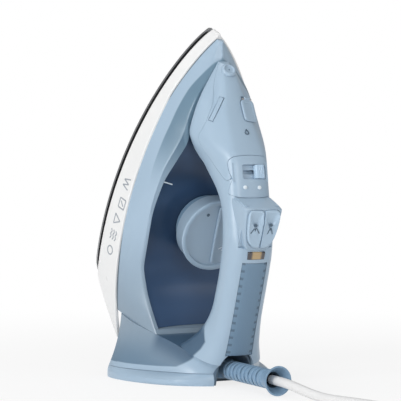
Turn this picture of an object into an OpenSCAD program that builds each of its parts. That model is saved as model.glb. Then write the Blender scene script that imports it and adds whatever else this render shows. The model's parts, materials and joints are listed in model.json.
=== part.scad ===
// Steam iron standing on its heel.
// The iron is drawn lying on its sole: x runs from the tip to the heel, y across, z up from the
// sole. stand() then tips it onto its heel, so that the sole faces -X and the handle +X.

/* [Sole and body] */
// Length of the soleplate, tip to rear edge
sole_len = 226; // [190:1:240]
// Overall width, at the skirt
body_w = 131; // [105:1:158]
// Thickness of the polished soleplate
sole_t = 2.5; // [1.5:0.5:4]
// Diameter of a steam vent
vent_d = 4; // [2:0.5:5]
// Wall of the skirt and the body shell
wall = 2.6; // [2:0.2:3.2]
// Height of the skirt's seam at the tip
seam_front = 18; // [14:1:20]
// Height of the skirt's seam at the heel
seam_rear = 36; // [30:1:40]
// Height of the body's rim beside the finger opening
rim_h = 48; // [44:1:52]

/* [Handle] */
// Height of the handle's back above the sole
handle_h = 134; // [124:1:146]
// Width of the handle where the hand holds it
handle_w = 36; // [30:1:42]
// Depth of the handle, back to underside
handle_t = 27; // [24:1:32]
// Width of the button block above the handle's front
block_w = 32; // [28:1:36]
// Travel of the two push buttons
button_travel = 3.5; // [2:0.5:4]
// Width of the steam slider's slot
slot_w = 20; // [20:1:26]

/* [Temperature dial] */
// Diameter of the dial
dial_d = 58; // [48:1:60]
// Height of the dial
dial_t = 16; // [12:1:18]
// Diameter of the dial's shaft
shaft_d = 6; // [5:0.5:8]

/* [Stand] */
// Lean of the sole away from upright when the iron stands on its heel
lean = 21.5; // [20:0.5:23]
// Height of the tip above the surface that the iron stands on
stand_h = 272.5; // [268:0.5:290]
// Thickness of the heel's foot
foot_t = 9; // [7:1:12]

/* [Cord] */
// Diameter of the cord
cord_d = 7; // [6:0.5:8]
// Length of the ribbed sleeve, pivot to mouth
sleeve_len = 86; // [70:1:100]
// Diameter of the ribbed sleeve
sleeve_d = 14.5; // [13:0.5:16]
// Height of the cord's exit above the surface
exit_h = 11.5; // [11:0.5:14]

/* [Fits] */
// Gap between a moving piece and the piece that guides it
run_gap = 0.3; // [0.2:0.05:0.4]
// Radial gap of a shaft in its bore
shaft_gap = 0.06; // [0.03:0.01:0.1]

/* [Hidden] */
$fn = 48;

// Widest point of the sole, measured from the tip, and the narrowing behind it
wide_at = 182;
heel_taper = 8.5;
w_max = body_w / 2;
sin_l = sin(lean);
cos_l = cos(lean);

// Heights in the sole stack
gap_h = 6.5;
cast_top = 15;
cover_t = 1.2;
cover_top = cast_top + cover_t;
tank_floor = 19;

// Stations along the iron
body_front = 7;
hood_front = 18;
inner_front = 26;
column_s = 80;
bulkhead_s = 222;
skirt_end = 246;
skirt_cut = 205;
dial_s = 145;
dial_base = rim_h + 6;
slider_s = 78;
valve_s = 76;

// Button block
block_front = 95;
block_back = 128;
block_rim = handle_h - 2;
button_top = handle_h + 1.2;
well_floor = 112;
pump_y = 7;
pump_s = 110;
pump_r = 5;
piston_r = 3.5;
pump_base = handle_h - handle_t - 7.5;
piston_end = pump_base + 8;

// Filler on the right shoulder of the hood
filler = [45.5, 9.6, 64.4];
filler_slope = 48;
filler_roll = 14;
cap_len = 18;
cap_wid = 12;
cap_low = 0.5;
cap_t = 1.8;
hinge_x = -cap_len / 2 - 0.5;
hinge_z = 1.4;
hinge_r = 0.9;

// Place of the iron above the surface, its box centred on the origin
centre_trim = 0.128;
tip_x = (sole_len * sin_l + block_front * sin_l - button_top * cos_l) / 2 + centre_trim;

// Turns the iron, drawn on its sole, onto its heel
module stand() {
    translate([tip_x, 0, stand_h]) rotate([0, 90 + lean, 0]) children();
}

// A point given from the tip's foot on the surface (x, y) and its height z, in the iron's own frame
function floor_pt(x, y, z) = [
    -(x * sin_l + (z - stand_h) * cos_l), y, x * cos_l - (z - stand_h) * sin_l
];

// Closed solid through rings with the same number of points
module loft(rings) {
    n = len(rings[0]);
    m = len(rings);
    points = [for (r = rings) for (p = r) p];
    sides = [
        for (j = [0:m - 2]) for (i = [0:n - 1]) for (k = [0, 1])
            let (a = j * n + i, b = j * n + (i + 1) % n)
                k == 0 ? [a, a + n, b + n] : [a, b + n, b]
    ];
    caps = [[for (i = [0:n - 1]) i], [for (i = [n - 1:-1:0]) (m - 1) * n + i]];
    polyhedron(points, concat(caps, sides), convexity = 8);
}

// Closed loop of rings, the last joined back to the first
module loft_loop(rings) {
    n = len(rings[0]);
    m = len(rings);
    points = [for (r = rings) for (p = r) p];
    polyhedron(points, [
        for (j = [0:m - 1]) for (i = [0:n - 1]) for (k = [0, 1])
            let (a = j * n + i, b = j * n + (i + 1) % n, c = ((j + 1) % m) * n + i, d = ((j + 1) % m) * n + (i + 1) % n)
                k == 0 ? [a, c, d] : [a, d, b]
    ], convexity = 8);
}

// Mirrors the right half of a section, listed from bottom centre to top centre, at station s
function full_ring(s, half) = concat(
    [for (p = half) [s, p[0], p[1]]],
    [for (i = [len(half) - 2:-1:1]) [s, -half[i][0], half[i][1]]]
);

// Prism across the iron with a side view given as [s, h] points
module side_prism(points) {
    translate([0, 100, 0]) rotate([90, 0, 0]) linear_extrude(200) polygon(points);
}

// Tube swept through hand-set points
function unit(v) = v / norm(v);
function tangent(p, i) = unit(p[min(i + 1, len(p) - 1)] - p[max(i - 1, 0)]);
function tube_ring(c, t, r, n, up) =
    let (u = unit(cross(t, up)), v = cross(u, t))
        [for (k = [0:n - 1]) c + r * (cos(360 * k / n) * u + sin(360 * k / n) * v)];
module tube(path, r, n = 8, up = [0, 0.01, 1]) {
    loft([for (i = [0:len(path) - 1]) tube_ring(path[i], tangent(path, i), r, n, up)]);
}

// Plan of the sole and skirt
function front_w(s) = w_max * pow(1 - pow(1 - min(s, wide_at) / wide_at, 2), 0.8);
function skirt_w(s) = s <= wide_at ? front_w(s)
    : w_max - heel_taper * pow((s - wide_at) / (skirt_end - wide_at), 2);
function end_round(s) = s < wide_at + 8 ? 1
    : sqrt(max(0, 1 - pow((s - wide_at - 8) / (sole_len - wide_at - 8), 3)));
function spread(a, b, n) = [for (i = [0:n]) a + (b - a) * pow(i / n, 1.5)];
function mirrored(edge) = concat(edge, [for (i = [len(edge) - 1:-1:0]) [edge[i][0], -edge[i][1]]]);
function sole_plan(inset) = mirrored([
    for (s = spread(1.3 * inset, sole_len - inset, 34))
        [s, max(0.6, skirt_w(s) * end_round(min(s + inset, sole_len)) - inset)]
]);

function mirrored3(edge) = concat(
    edge, [for (i = [len(edge) - 1:-1:0]) [edge[i][0], -edge[i][1], edge[i][2]]]
);

// Seam between the skirt and the body, and the body's rim
function seam_h(s) = seam_front
    + (seam_rear - seam_front) * pow(min(1, max(0, (s - 50) / (skirt_end - 50))), 0.8);
draft = 0.16;
function body_w_at(s) = skirt_w(s) - 1.4 - draft * (seam_h(s) - gap_h);
rim_y = [
    [7, 1.5], [18, 4.5], [28, 12], [42, 22.5], [56, 28], [67, 30.5], [80, 36], [103, 45],
    [135, 49.5], [175, 49.5], [193, 47.5], [215, 44], [222, 42.5]
];
rim_rise = [
    [7, -24], [18, -18], [28, -14], [42, -7], [56, -4], [67, -2], [80, 0], [175, 1], [193, 7],
    [215, 25], [222, 32]
];
function rim_at(s) = rim_h + lookup(s, rim_rise);
body_stations = [for (r = rim_y) r[0]];

// Upper form: hood, column and handle in one sweep along the iron
top_drop = [
    [18, -98], [23, -89], [31, -80], [43, -69.5], [59, -49], [70, -36], [88, -25], [100, -18],
    [115, -9], [127, -3], [140, -0.5], [180, 1], [222, 2]
];
under_rise = [
    [88, 12], [94, 22], [99, 32], [106, 42], [118, 50], [138, 56.5], [163, 59], [188, 58.5],
    [205, 55], [215, 50], [222, 45]
];
under_y = [
    [18, 4.5], [28, 12], [42, 22.5], [56, 28], [67, 30.5], [73, 28.5], [80, 24.5], [88, 2.5],
    [99, 0], [180, 0], [195, 2], [205, 5.5], [215, 10.5], [222, 15]
];
top_y = [
    [18, -15], [23, -11], [30, -8.5], [43, -5], [59, -2], [70, -0.5], [180, 0], [205, 2], [222, 6]
];
upper_stations = [
    18, 23, 28, 35, 42, 50, 59, 67, 73, 80, 88, 94, 99, 106, 118, 127, 138, 163, 188, 205, 215, 222
];
function top_h(s) = handle_h + lookup(s, top_drop);
function under_h(s) = s <= column_s ? rim_at(s) : rim_h + lookup(s, concat([[80, 0]], under_rise));
function under_w(s) = s <= column_s ? lookup(s, under_y) : handle_w / 2 + lookup(s, under_y)
    + (s < 88 ? lookup(s, [[80, -handle_w / 2], [88, 0]]) : 0);
function top_w(s) = handle_w / 2 + lookup(s, top_y);
function upper_half(s, in_by, lift) =
    let (
        b = under_w(s) - in_by, c = top_w(s) - in_by, h0 = under_h(s) + lift,
        h1 = top_h(s) - in_by, k = h1 - h0, rb = s > 84 ? min(7, 0.3 * k) : 0.06 * k,
        rt = min(8, 0.36 * k)
    ) [
        [0, h0], [0.72 * b, h0], [b, h0 + rb], [(b + c) / 2 + 0.015 * k, h0 + 0.5 * k],
        [c, h1 - rt], [0.74 * c, h1 - 0.24 * rt], [0.36 * c, h1 - 0.05 * rt], [0, h1]
    ];
module upper_form() {
    loft([for (s = upper_stations) full_ring(s, upper_half(s, 0, 0))]);
}
module upper_hollow() {
    loft([
        for (s = concat([inner_front], [for (u = upper_stations) if (u > inner_front + 1) u], [bulkhead_s + 1]))
            full_ring(s, upper_half(s, wall, s < column_s ? -1 : wall))
    ]);
}

// Side views of the pieces that share the upper form
hood_view = [
    [0, 150], [66, 150], [66, 97], [73, 93], [79, 97], [84, 102.5], [87.5, 99], [85, 91], [79, 76],
    [69, 61], [56, 62], [40, 53], [28, 41.5], [18, 32], [0, 30]
];
front_view = concat(
    [[0, 150], [block_front, 150], [block_front, 104], [84, 102.5]], [for (i = [6:len(hood_view) - 1]) hood_view[i]]
);
panel_view = [
    [66, 150], [66, 97], [73, 93], [79, 97], [84, 102.5], [block_front, 104], [block_front, 150]
];

// Outlines of the button block
function button_plan(g) = [
    [block_front + 1.5 - g, 0.2 - g], [block_front + 1.5 - g, 12 + g], [block_front + 7, 13 + g],
    [block_front + 18, 12 + g], [block_back - 5, 9 + g], [block_back - 2 + g, 5], [block_back - 2 + g, 0.2 - g]
];
module block_plan() {
    hull() {
        for (side = [-1, 1]) {
            translate([block_front + 3, side * (block_w / 2 - 3)]) circle(3, $fn = 32);
            translate([block_back - 2, side * (block_w / 2 - 7)]) circle(3, $fn = 32);
        }
    }
}

// Grip panel on the back of the handle
grip_from = 139;
grip_to = 214;
grip_w = 10.5;
function grip_half(s, low, high) =
    let (h = top_h(s), w = grip_w + 0.25 * (top_w(s) - handle_w / 2)) [
        [0, h - low], [0.5 * w, h - low - 0.2], [w, h - low - 1.4],
        [w, h + high - 1.3], [0.5 * w, h + high - 0.2], [0, h + high]
    ];
grip_stations = [grip_from, 150, 163, 175, 188, 205, grip_to];

// Heel: from the section at the bulkhead down to the foot's outline
bulkhead_half = [
    [0, seam_h(bulkhead_s) - 0.6], [body_w_at(bulkhead_s), seam_h(bulkhead_s)], [54.4, 54.8], [49, 67],
    [42.5, 80], [37, 90], [33, 100], [28.9, 114], [24, 128], [17.8, 134.1], [0, 136]
];
foot_x = [-60.8, -60, -52, -38, -18, 0, 14, 25, 32.5, 37, 38.5];
foot_y = [0, 60, 62.5, 63, 59.5, 53, 44.6, 33.6, 21.5, 9.8, 0];
base_x = [-60.6, -60, -51, -37, -20, -2, 11, 22, 31, 36, 38];
base_y = [0, 59, 61.3, 61, 54.5, 45, 37, 29, 20, 10.5, 0];
function round_ring(f) = [for (i = [0:19]) let (j = i <= 10 ? i : 20 - i) f(j, i <= 10 ? 1 : -1)];
function heel_pt(j, t, inset) =
    let (
        a = [bulkhead_s, bulkhead_half[j][0], bulkhead_half[j][1]],
        f = floor_pt(base_x[j], base_y[j], foot_t),
        p = a + (f - a) * t,
        c = floor_pt(-20, 0, 0)[2],
        y = max(0, p[1] - 8 * t * (1 - t) - inset)
    ) [p[0], j == 0 || j == 10 ? 0 : y, p[2] + (p[2] < c ? inset : -inset) * min(1, abs(p[2] - c) / 10)];
function heel_ring(t, inset) = round_ring(function (j, side)
    let (p = heel_pt(j, t, inset)) [p[0], side * p[1], p[2]]);
function heel_cap(t, inset, s) = round_ring(function (j, side)
    let (p = heel_pt(j, t, inset)) [s, side * p[1], p[2]]);
function heel_base(inset, z) = round_ring(function (j, side)
    floor_pt(base_x[j] + (j < 3 ? inset : j > 5 ? -inset : 0), side * max(0, base_y[j] - inset), z));

// Cord exit
exit_x = tip_x + 38.5;
pivot_x = exit_x - 17;
mouth_x = pivot_x + sleeve_len;
arch_r = 13;
pivot_r = 8;
pin_r = 3;
pivot_h = 14;
cord_r = cord_d / 2;

// Route of the cord from the sleeve to the coil, and from the coil to the plug
lead_in = [
    [94, 0, 11.5], [104, 0, 11.5], [116, 1, 11], [128, 3.5, 8.5], [140, 8, 5.4], [152, 12, 3.8],
    [165, 17, 3.6], [180, 22, 3.6], [198, 26.3, 3.6], [217, 29.2, 3.6], [237, 30.7, 3.6], [256, 31.2, 3.6],
    [272, 31.3, 3.6], [286, 31.3, 3.6]
];
lead_out = [
    [249.4, -8, 10.8], [249.4, 6, 10.8], [249.4, 16, 10.8], [249.7, 25, 10.9], [251.5, 33, 10.9],
    [256.7, 41.9, 10.9], [264.9, 48.8, 11.4], [275, 52.5, 12.1], [283, 53, 12.5], [288.5, 53, 12.5]
];
coil_c = [295, -21.5];
coil_rows = [52.8, 45.6, 38.4, 31.2];
layer_h = 7.1;
coil_base = 0.1;

module stand_color(c) {
    color(c) stand() children();
}

// ---- sole ----
module vent_holes() {
    for (side = [-1, 1]) for (i = [0:8])
        translate([34 + 15 * i, side * 0.6 * front_w(34 + 15 * i), -1]) cylinder(d = vent_d, h = sole_t + 2);
    for (i = [0:4]) translate([22 + 9 * i, 0, -1]) cylinder(d = vent_d, h = sole_t + 2);
}

module soleplate() stand_color("silver") difference() {
    linear_extrude(sole_t) polygon(sole_plan(0.8));
    vent_holes();
}

heater_r = 4;
heater_y = 27;
heater_from = 84;
heater_to = 208;
heater_h = 9.5;
screw_spots = [[44, 0], [178, 34], [178, -34]];

function half_turn(r, from, to) = [
    for (i = [0:16]) let (a = from + (to - from) * i / 16) [heater_from + r * cos(a), r * sin(a)]
];
function channel_plan(g) = concat(
    [[240, heater_y + g]], half_turn(heater_y + g, 90, 270), [[240, -heater_y - g], [240, g - heater_y]],
    half_turn(heater_y - g, 270, 90), [[240, heater_y - g]]
);

module sole_casting() stand_color("dimgray") difference() {
    translate([0, 0, sole_t]) linear_extrude(cast_top - sole_t) polygon(sole_plan(5));
    // heater channel
    translate([0, 0, heater_h - heater_r - 0.1]) linear_extrude(20) polygon(channel_plan(heater_r + 0.25));
    // steam chamber
    translate([66, -15, 7]) cube([84, 30, 20]);
    for (p = screw_spots) translate([p[0], p[1], 6]) cylinder(d = 3, h = 20);
}

module heating_element() stand_color("gray") {
    for (side = [-1, 1]) translate([heater_from, side * heater_y, heater_h]) rotate([0, 90, 0])
        cylinder(r = heater_r, h = heater_to - heater_from);
    translate([heater_from, 0, heater_h]) rotate([0, 0, 90]) rotate_extrude(angle = 180)
        translate([heater_y, 0]) circle(heater_r);
}

module heater_terminals() stand_color("goldenrod") {
    for (side = [-1, 1]) translate([heater_to, side * heater_y, heater_h]) rotate([0, 90, 0])
        cylinder(r = 1.5, h = 9);
}

module chamber_cover() stand_color("lightgray") difference() {
    translate([0, 0, cast_top]) linear_extrude(cover_t) polygon(mirrored([
        [38, 12], [60, 26], [90, 34], [180, 40], [196, 34]
    ]));
    translate([valve_s, 0, cast_top - 1]) cylinder(d = 5, h = 4);
    for (p = screw_spots) translate([p[0], p[1], cast_top - 1]) cylinder(d = 3.4, h = 4);
}

module chamber_screws() stand_color("silver") {
    for (p = screw_spots) translate([p[0], p[1], cover_top]) {
        cylinder(d = 6, h = 1.6);
        translate([0, 0, -8]) cylinder(d = 2.8, h = 8);
    }
}

// ---- skirt and body ----
function skirt_low(s) = s <= skirt_cut ? gap_h
    : gap_h + (seam_h(skirt_end) - 1.2 - gap_h) * (s - skirt_cut) / (skirt_end - skirt_cut);
function skirt_ring(top, inset) = mirrored3([
    for (u = spread(0, 1, 30))
        let (s = 2 * inset + u * (skirt_end - 3 * inset), h = top ? seam_h(s) : skirt_low(s))
            [s, max(0.6 + 0.02 * s, skirt_w(s) - inset - draft * (h - gap_h)), h]
]);
module skirt() stand_color("whitesmoke")
    loft_loop([skirt_ring(false, 0), skirt_ring(false, wall), skirt_ring(true, wall), skirt_ring(true, 0)]);

function body_ring(level, inset) = mirrored3([
    for (q = body_stations)
        let (
            s = inset == 0 ? q : 24 + (q - 7) * (bulkhead_s - wall - 24) / (bulkhead_s - 7),
            a = body_w_at(s), b = lookup(s, rim_y), y = a - level * (a - b) + 0.15 * (a - b) * sin(180 * level)
        ) [s, y - inset, seam_h(s) + level * (rim_at(s) - seam_h(s))]
]);
module body_shell() stand_color("lightsteelblue") loft_loop([
    body_ring(0, 0), body_ring(0, wall), body_ring(0.45, wall), body_ring(1, wall), body_ring(1, 0), body_ring(0.45, 0)
]);

function cover_half(s, side_gap) =
    let (w = lookup(s, rim_y) - wall - side_gap, h = rim_at(s) - 1.5) [
        [0, h - 5.9], [0.6 * w, h - 5.2], [w, h - 2.4],
        [w, h], [0.6 * w, h - 2.8], [0, h - 3.5]
    ];
tank_stations = [66, 74, 82, 92, 103, 119, 135, 155, 175, 184, 193, 204, 212, 219];

module tank_top() stand_color("midnightblue") difference() {
    loft([for (s = tank_stations) full_ring(s, cover_half(s, 0.3))]);
    translate([dial_s, 0, rim_h - 20]) cylinder(d = shaft_d + 4, h = 40);
    translate([valve_s, 0, rim_h - 20]) cylinder(d = 6, h = 40);
    translate([78, -10, rim_h - 20]) cylinder(d = 5, h = 40);
}

function vessel_half(s, in_by, low) =
    let (w = lookup(s, rim_y) - 9 - in_by) [
        [0, low - 0.3], [w - 4, low], [w, low + 5], [w, min(rim_at(s), 58) - 9.5 + 3 * in_by],
        [0, min(rim_at(s), 58) - 9.2 + 3 * in_by]
    ];
tank_from = 90;
tank_to = 200;
module water_tank() stand_color("steelblue") difference() {
    union() {
        difference() {
            loft([for (s = [tank_from, 103, 119, 135, 155, 175, 193, tank_to]) full_ring(s, vessel_half(s, 0, tank_floor))]);
            loft([for (s = [tank_from + 2, 103, 119, 135, 155, 175, 193, tank_to - 2])
                full_ring(s, vessel_half(s, 2, tank_floor + 2))]);
        }
        translate([dial_s, 0, tank_floor]) cylinder(d = 38, h = 19);
    }
    translate([dial_s, 0, tank_floor - 1]) cylinder(d = 34, h = 30);
}

module tank_seal() stand_color("dimgray") {
    for (s = [104, 186]) for (side = [-1, 1])
        translate([s, side * 22, cover_top]) cylinder(d = 9, h = tank_floor - 0.3 - cover_top);
}

// ---- hood, nozzle and filler ----
module at_filler() {
    translate(filler) rotate([0, -filler_slope, 0]) rotate([-filler_roll, 0, 0]) children();
}

module at_nozzle() {
    translate([21, 0, 41.6]) rotate([0, -61, 0]) children();
}

module front_hood() stand_color("lightsteelblue") difference() {
    intersection() {
        upper_form();
        side_prism(hood_view);
    }
    upper_hollow();
    at_filler() {
        translate([0, 0, -12]) cylinder(d = 9.8, h = 30);
        translate([0, 0, 0.1]) cap_slab(cap_len + 1, cap_wid + 1, 12);
        translate([hinge_x - 2.2, -5, -0.6]) cube([4.2, 10, 12]);
    }
    inlay_bar(0);
    at_nozzle() translate([0, 0, -12]) cylinder(d = 6.2, h = 20);
    at_nozzle() translate([0, 0, -1]) cylinder(d = 12.2, h = 20);
}

module spray_nozzle() stand_color("steelblue") at_nozzle() difference() {
    union() {
        translate([0, 0, -0.9]) cylinder(d1 = 12, d2 = 9, h = 2.6);
        translate([0, 0, -8]) cylinder(d = 6, h = 8);
    }
    translate([0, 0, -9]) cylinder(d = 1.4, h = 20);
}

module filler_funnel() stand_color("slategray") at_filler() translate([0, 0, -9]) difference() {
    cylinder(d = 9.6, h = 9.1);
    translate([0, 0, 1.5]) cylinder(d = 7.2, h = 12);
    translate([-1.5, 0, -1]) cylinder(d = 2.6, h = 4);
}

module cap_slab(l, w, t) {
    hull() for (x = [-1, 1]) for (y = [-1, 1])
        translate([x * (l / 2 - 3), y * (w / 2 - 3), 0]) cylinder(r = 3, h = t, $fn = 32);
}

module filler_cap() stand_color("lightsteelblue") at_filler() difference() {
    union() {
        translate([0, 0, cap_low]) cap_slab(cap_len, cap_wid, cap_t);
        translate([hinge_x, 0, hinge_z]) rotate([90, 0, 0]) cylinder(r = 1.6, h = 5, center = true);
    }
    translate([hinge_x, 0, hinge_z]) rotate([90, 0, 0]) cylinder(r = hinge_r + shaft_gap, h = 8, center = true);
    for (side = [-1, 1]) translate([hinge_x - 2, side * 4.5 - 2, -1]) cube([3.2, 4, 5]);
}

module cap_hinge_pin() stand_color("silver") at_filler() {
    translate([hinge_x, 0, hinge_z]) rotate([90, 0, 0]) cylinder(r = hinge_r, h = 9, center = true);
    for (side = [-1, 1]) translate([hinge_x, side * 3.9, -0.6]) cylinder(r = 0.8, h = hinge_z + 0.6);
}

// Raised strip let into the left side of the hood
module inlay_bar(g) {
    translate([45.5, -14.5, 59.4]) rotate([50, -20.7, -31.5]) translate([-10, -1.7, -1.1 + g]) cube([20, 3.4, 1.8 - g]);
}

module side_inlay() stand_color("slategray") inlay_bar(0);

// ---- handle ----
module slot_frame() {
    translate([slider_s, 0, top_h(slider_s)]) rotate([0, -31.4, 0]) children();
}

module handle_shell() color("lightsteelblue") difference() {
    stand() difference() {
        upper_form();
        upper_hollow();
        side_prism(front_view);
        inlay_bar(0);
        translate([block_front, -13.9, well_floor - 2]) cube([block_back - block_front, 27.8, 40]);
        loft([for (s = grip_stations) full_ring(s, grip_half(s, 1.1, 3))]);
        translate([130, -7.1, handle_h - 8]) cube([6, 14.2, 20]);
        // ways for the valve rod, the steam hose and the nozzle
        translate([valve_s - 3, -3, 40]) cube([6, 6, 25]);
        translate([73, -13, 40]) cube([12, 6, 30]);
        at_nozzle() translate([-3.2, -3.2, -12]) cube([6.4, 6.4, 20]);
        at_nozzle() translate([-6.5, -6.5, -1]) cube([13, 13, 20]);
    }
    cord_arch(1.6);
}

module slider_panel() stand_color("lightsteelblue") difference() {
    intersection() {
        upper_form();
        side_prism(panel_view);
        union() {
            difference() {
                upper_form();
                upper_hollow();
            }
            slot_frame() translate([-7, -14.5, -5.5]) cube([14, 29, 2.5]);
        }
    }
    slot_frame() translate([-5.5, slot_y - slot_w / 2, -3]) cube([11, slot_w, 12]);
    slot_frame() translate([-1.6, slot_y - slot_w / 2 + 1.6, -9]) cube([3.2, slot_w - 3.2, 12]);
}

slot_y = 2.5;
knob_y = 6.6;
knob_w = 7.6;
module steam_slider() stand_color("aliceblue") slot_frame() {
    translate([-5.1, knob_y - knob_w / 2, -2.7]) cube([10.2, knob_w, 4]);
    translate([-1.3, knob_y - 2, -8.5]) cube([2.6, 4, 7]);
}

module valve_rod() stand_color("silver") translate([valve_s, 0, 0]) {
    translate([0, 0, cast_top + 1.4]) cylinder(d = 4, h = top_h(slider_s) - 13 - cast_top - 1.4);
}

module valve_seat() stand_color("gold") translate([valve_s, 0, cover_top]) difference() {
    cylinder(d = 10, h = 7);
    translate([0, 0, -1]) cylinder(d = 4 + 2 * shaft_gap, h = 10);
}

// ---- push buttons and pumps ----
module button_housing() stand_color("lightsteelblue") difference() {
    union() {
        difference() {
            translate([0, 0, well_floor - 2]) linear_extrude(block_rim - well_floor + 2) block_plan();
            upper_form();
        }
        translate([block_front, -13.9, well_floor - 2])
            cube([block_back - block_front, 27.8, block_rim - well_floor + 2]);
    }
    translate([0, 0, well_floor]) linear_extrude(40) union() {
        polygon(button_plan(run_gap));
        mirror([0, 1]) polygon(button_plan(run_gap));
    }
    for (side = [-1, 1]) translate([pump_s, side * pump_y, well_floor - 5]) cylinder(r = piston_r + shaft_gap, h = 10);
}

module push_button(side) {
    mirror([0, side < 0 ? 1 : 0]) {
        difference() {
            translate([0, 0, well_floor + button_travel + 0.5])
                linear_extrude(button_top - well_floor - button_travel - 0.5) polygon(button_plan(0));
            // sloping front edge
            translate([block_front, -1, block_rim + 0.2]) rotate([0, -30, 0]) translate([-20, 0, 0]) cube([20, 40, 20]);
        }
        translate([pump_s, pump_y, piston_end]) cylinder(r = piston_r, h = well_floor + button_travel + 1 - piston_end);
    }
}

module burst_button() stand_color("steelblue") push_button(-1);
module spray_button() stand_color("steelblue") push_button(1);

module pump(side) translate([pump_s, side * pump_y, pump_base]) difference() {
    cylinder(r = pump_r, h = well_floor - 2 - pump_base);
    translate([0, 0, 1.5]) cylinder(r = piston_r + shaft_gap, h = 40);
}

module burst_pump() stand_color("gainsboro") pump(-1);
module spray_pump() stand_color("gainsboro") pump(1);

module pump_spring(side) {
    turns = 1.5;
    steps = 30;
    rise = piston_end - button_travel - 0.6 - pump_base - 1.5 - 0.8;
    tube([
        for (i = [0:steps]) let (a = 360 * turns * i / steps)
            [pump_s + 2.6 * cos(a), side * pump_y + 2.6 * sin(a), pump_base + 1.9 + rise * i / steps]
    ], 0.35, 6);
}

module burst_spring() stand_color("silver") pump_spring(-1);
module spray_spring() stand_color("silver") pump_spring(1);

module pump_hoses() stand_color("white") {
    tube([[103.2, 7, 101.5], [98, 7, 93], [90, 6, 80], [80, 5.2, 71], [67, 3.6, 58], [54, 0.6, 50], [42, 0, 45], [34, 0, 41.2], [31, 0, 39.6]], 1.6, 8);
    tube([[103.2, -7, 101.5], [98, -8, 93], [90, -9.5, 80], [82, -10, 66], [78.5, -10, 50], [78, -10, 30], [78, -10, cover_top + 0.2]], 1.6, 8);
}

// ---- grip and lamp ----
module rear_grip() stand_color("slategray")
    loft([for (s = grip_stations) full_ring(s, grip_half(s, 1.1, 0.25))]);

module lamp_lens() stand_color("orange")
    translate([130, -7, handle_h - 6]) cube([6, 14, 5.4]);

module lamp() stand_color("tomato") translate([133, -5, handle_h - 8.1]) rotate([-90, 0, 0]) cylinder(d = 4, h = 10);

// ---- dial ----
module temperature_dial() stand_color("lightsteelblue") translate([dial_s, 0, dial_base]) difference() {
    union() {
        rotate_extrude($fn = 96) polygon([
            [0, 0], [dial_d / 2 - 4, 0], [dial_d / 2 - 1.5, 1], [dial_d / 2 - 1, dial_t - 3],
            [dial_d / 2, dial_t - 2], [dial_d / 2, dial_t - 0.6], [dial_d / 2 - 0.8, dial_t],
            [dial_d / 2 - 3.4, dial_t], [dial_d / 2 - 4.2, dial_t - 2.4], [0, dial_t - 2.4]
        ]);
        translate([-dial_d / 2 + 6, -1, dial_t - 2.6]) cube([dial_d - 12, 2, 2]);
    }
    translate([0, 0, -1]) cylinder(d = shaft_d + 0.1, h = dial_t - 4);
}

module dial_shaft() stand_color("gainsboro")
    translate([dial_s, 0, cover_top + 8]) cylinder(d = shaft_d, h = dial_base + dial_t - 5.5 - cover_top - 8);

module dial_collar() stand_color("slategray") translate([dial_s, 0, rim_h - 3.3]) difference() {
    cylinder(d = dial_d - 12, h = dial_base - run_gap - rim_h + 3.3);
    translate([0, 0, -1]) cylinder(d = shaft_d + 2, h = 20);
}

module thermostat() stand_color("tan") translate([dial_s, 0, cover_top]) difference() {
    cylinder(d = 30, h = 14);
    translate([0, 0, 7]) cylinder(d = shaft_d + 2 * shaft_gap, h = 20);
}

module thermal_fuse() stand_color("white") translate([207, 0, cast_top + 2.5]) rotate([90, 0, 0]) {
    cylinder(d = 5, h = 16, center = true);
    cylinder(d = 1.2, h = 36, center = true);
}

// ---- heel ----
module cord_arch(grow) {
    r = arch_r + grow;
    translate([pivot_x - pivot_r - 2 - grow, 0, exit_h + 1]) rotate([90, 0, 90]) linear_extrude(70)
        polygon(concat([[r, -exit_h - 2]], [for (i = [0:20]) [r * cos(9 * i), r * sin(9 * i)]], [[-r, -exit_h - 2]]));
}

module heel_form() {
    loft([for (t = [0, 0.2, 0.4, 0.6, 0.8, 1]) heel_ring(t, 0)]);
}

module rear_shell() color("lightsteelblue") difference() {
    stand() difference() {
        heel_form();
        loft(concat(
            [heel_cap(0.05, wall, bulkhead_s + wall)],
            [for (t = [0.2, 0.4, 0.6, 0.8]) heel_ring(t, wall)],
            [heel_base(wall, foot_t - 1)]
        ));
    }
    cord_arch(1.6);
}

function foot_ring(z, k) = round_ring(function (j, side)
    [tip_x + (1 - k) * foot_x[j] + k * base_x[j], side * ((1 - k) * foot_y[j] + k * base_y[j]), z]);
module heel_foot() color("lightblue") difference() {
    loft([foot_ring(foot_t, 0.97), foot_ring(0.5 * foot_t, 0), foot_ring(1, 0), foot_ring(0, 0.12)]);
    cord_arch(1.6);
    for (p = heel_screw_spots) translate([tip_x + p[0], p[1], -1]) cylinder(d = 3.4, h = foot_t + 2);
    for (p = heel_screw_spots) translate([tip_x + p[0], p[1], -1]) cylinder(d = 7, h = 3.5);
}

heel_screw_spots = [[-48, 40], [-48, -40], [-32, 0]];
module heel_screws() color("silver") for (p = heel_screw_spots) translate([tip_x + p[0], p[1], 0.6]) {
    cylinder(d = 6.6, h = 1.9);
    cylinder(d = 3.2, h = foot_t + 6);
}

module terminal_block() color("ivory") translate([tip_x - 20, -12, foot_t]) cube([16, 24, 10]);

module power_leads() color("brown") for (side = [-1, 1])
    tube([
        [tip_x - 12, side * 8, foot_t + 11.8], [tip_x - 14, side * 11, 28], [tip_x - 23, side * 16, 36],
        [tip_x - 32, side * 20, 41]
    ], 1.3, 8);

// ---- cord ----
module cord_bush() color("dimgray") {
    arch_liner();
    translate([pivot_x, 0, exit_h + pivot_h / 2 - 3]) cylinder(r = pin_r, h = exit_h + 1 + arch_r + 1 - exit_h - pivot_h / 2 + 3);
}

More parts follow.
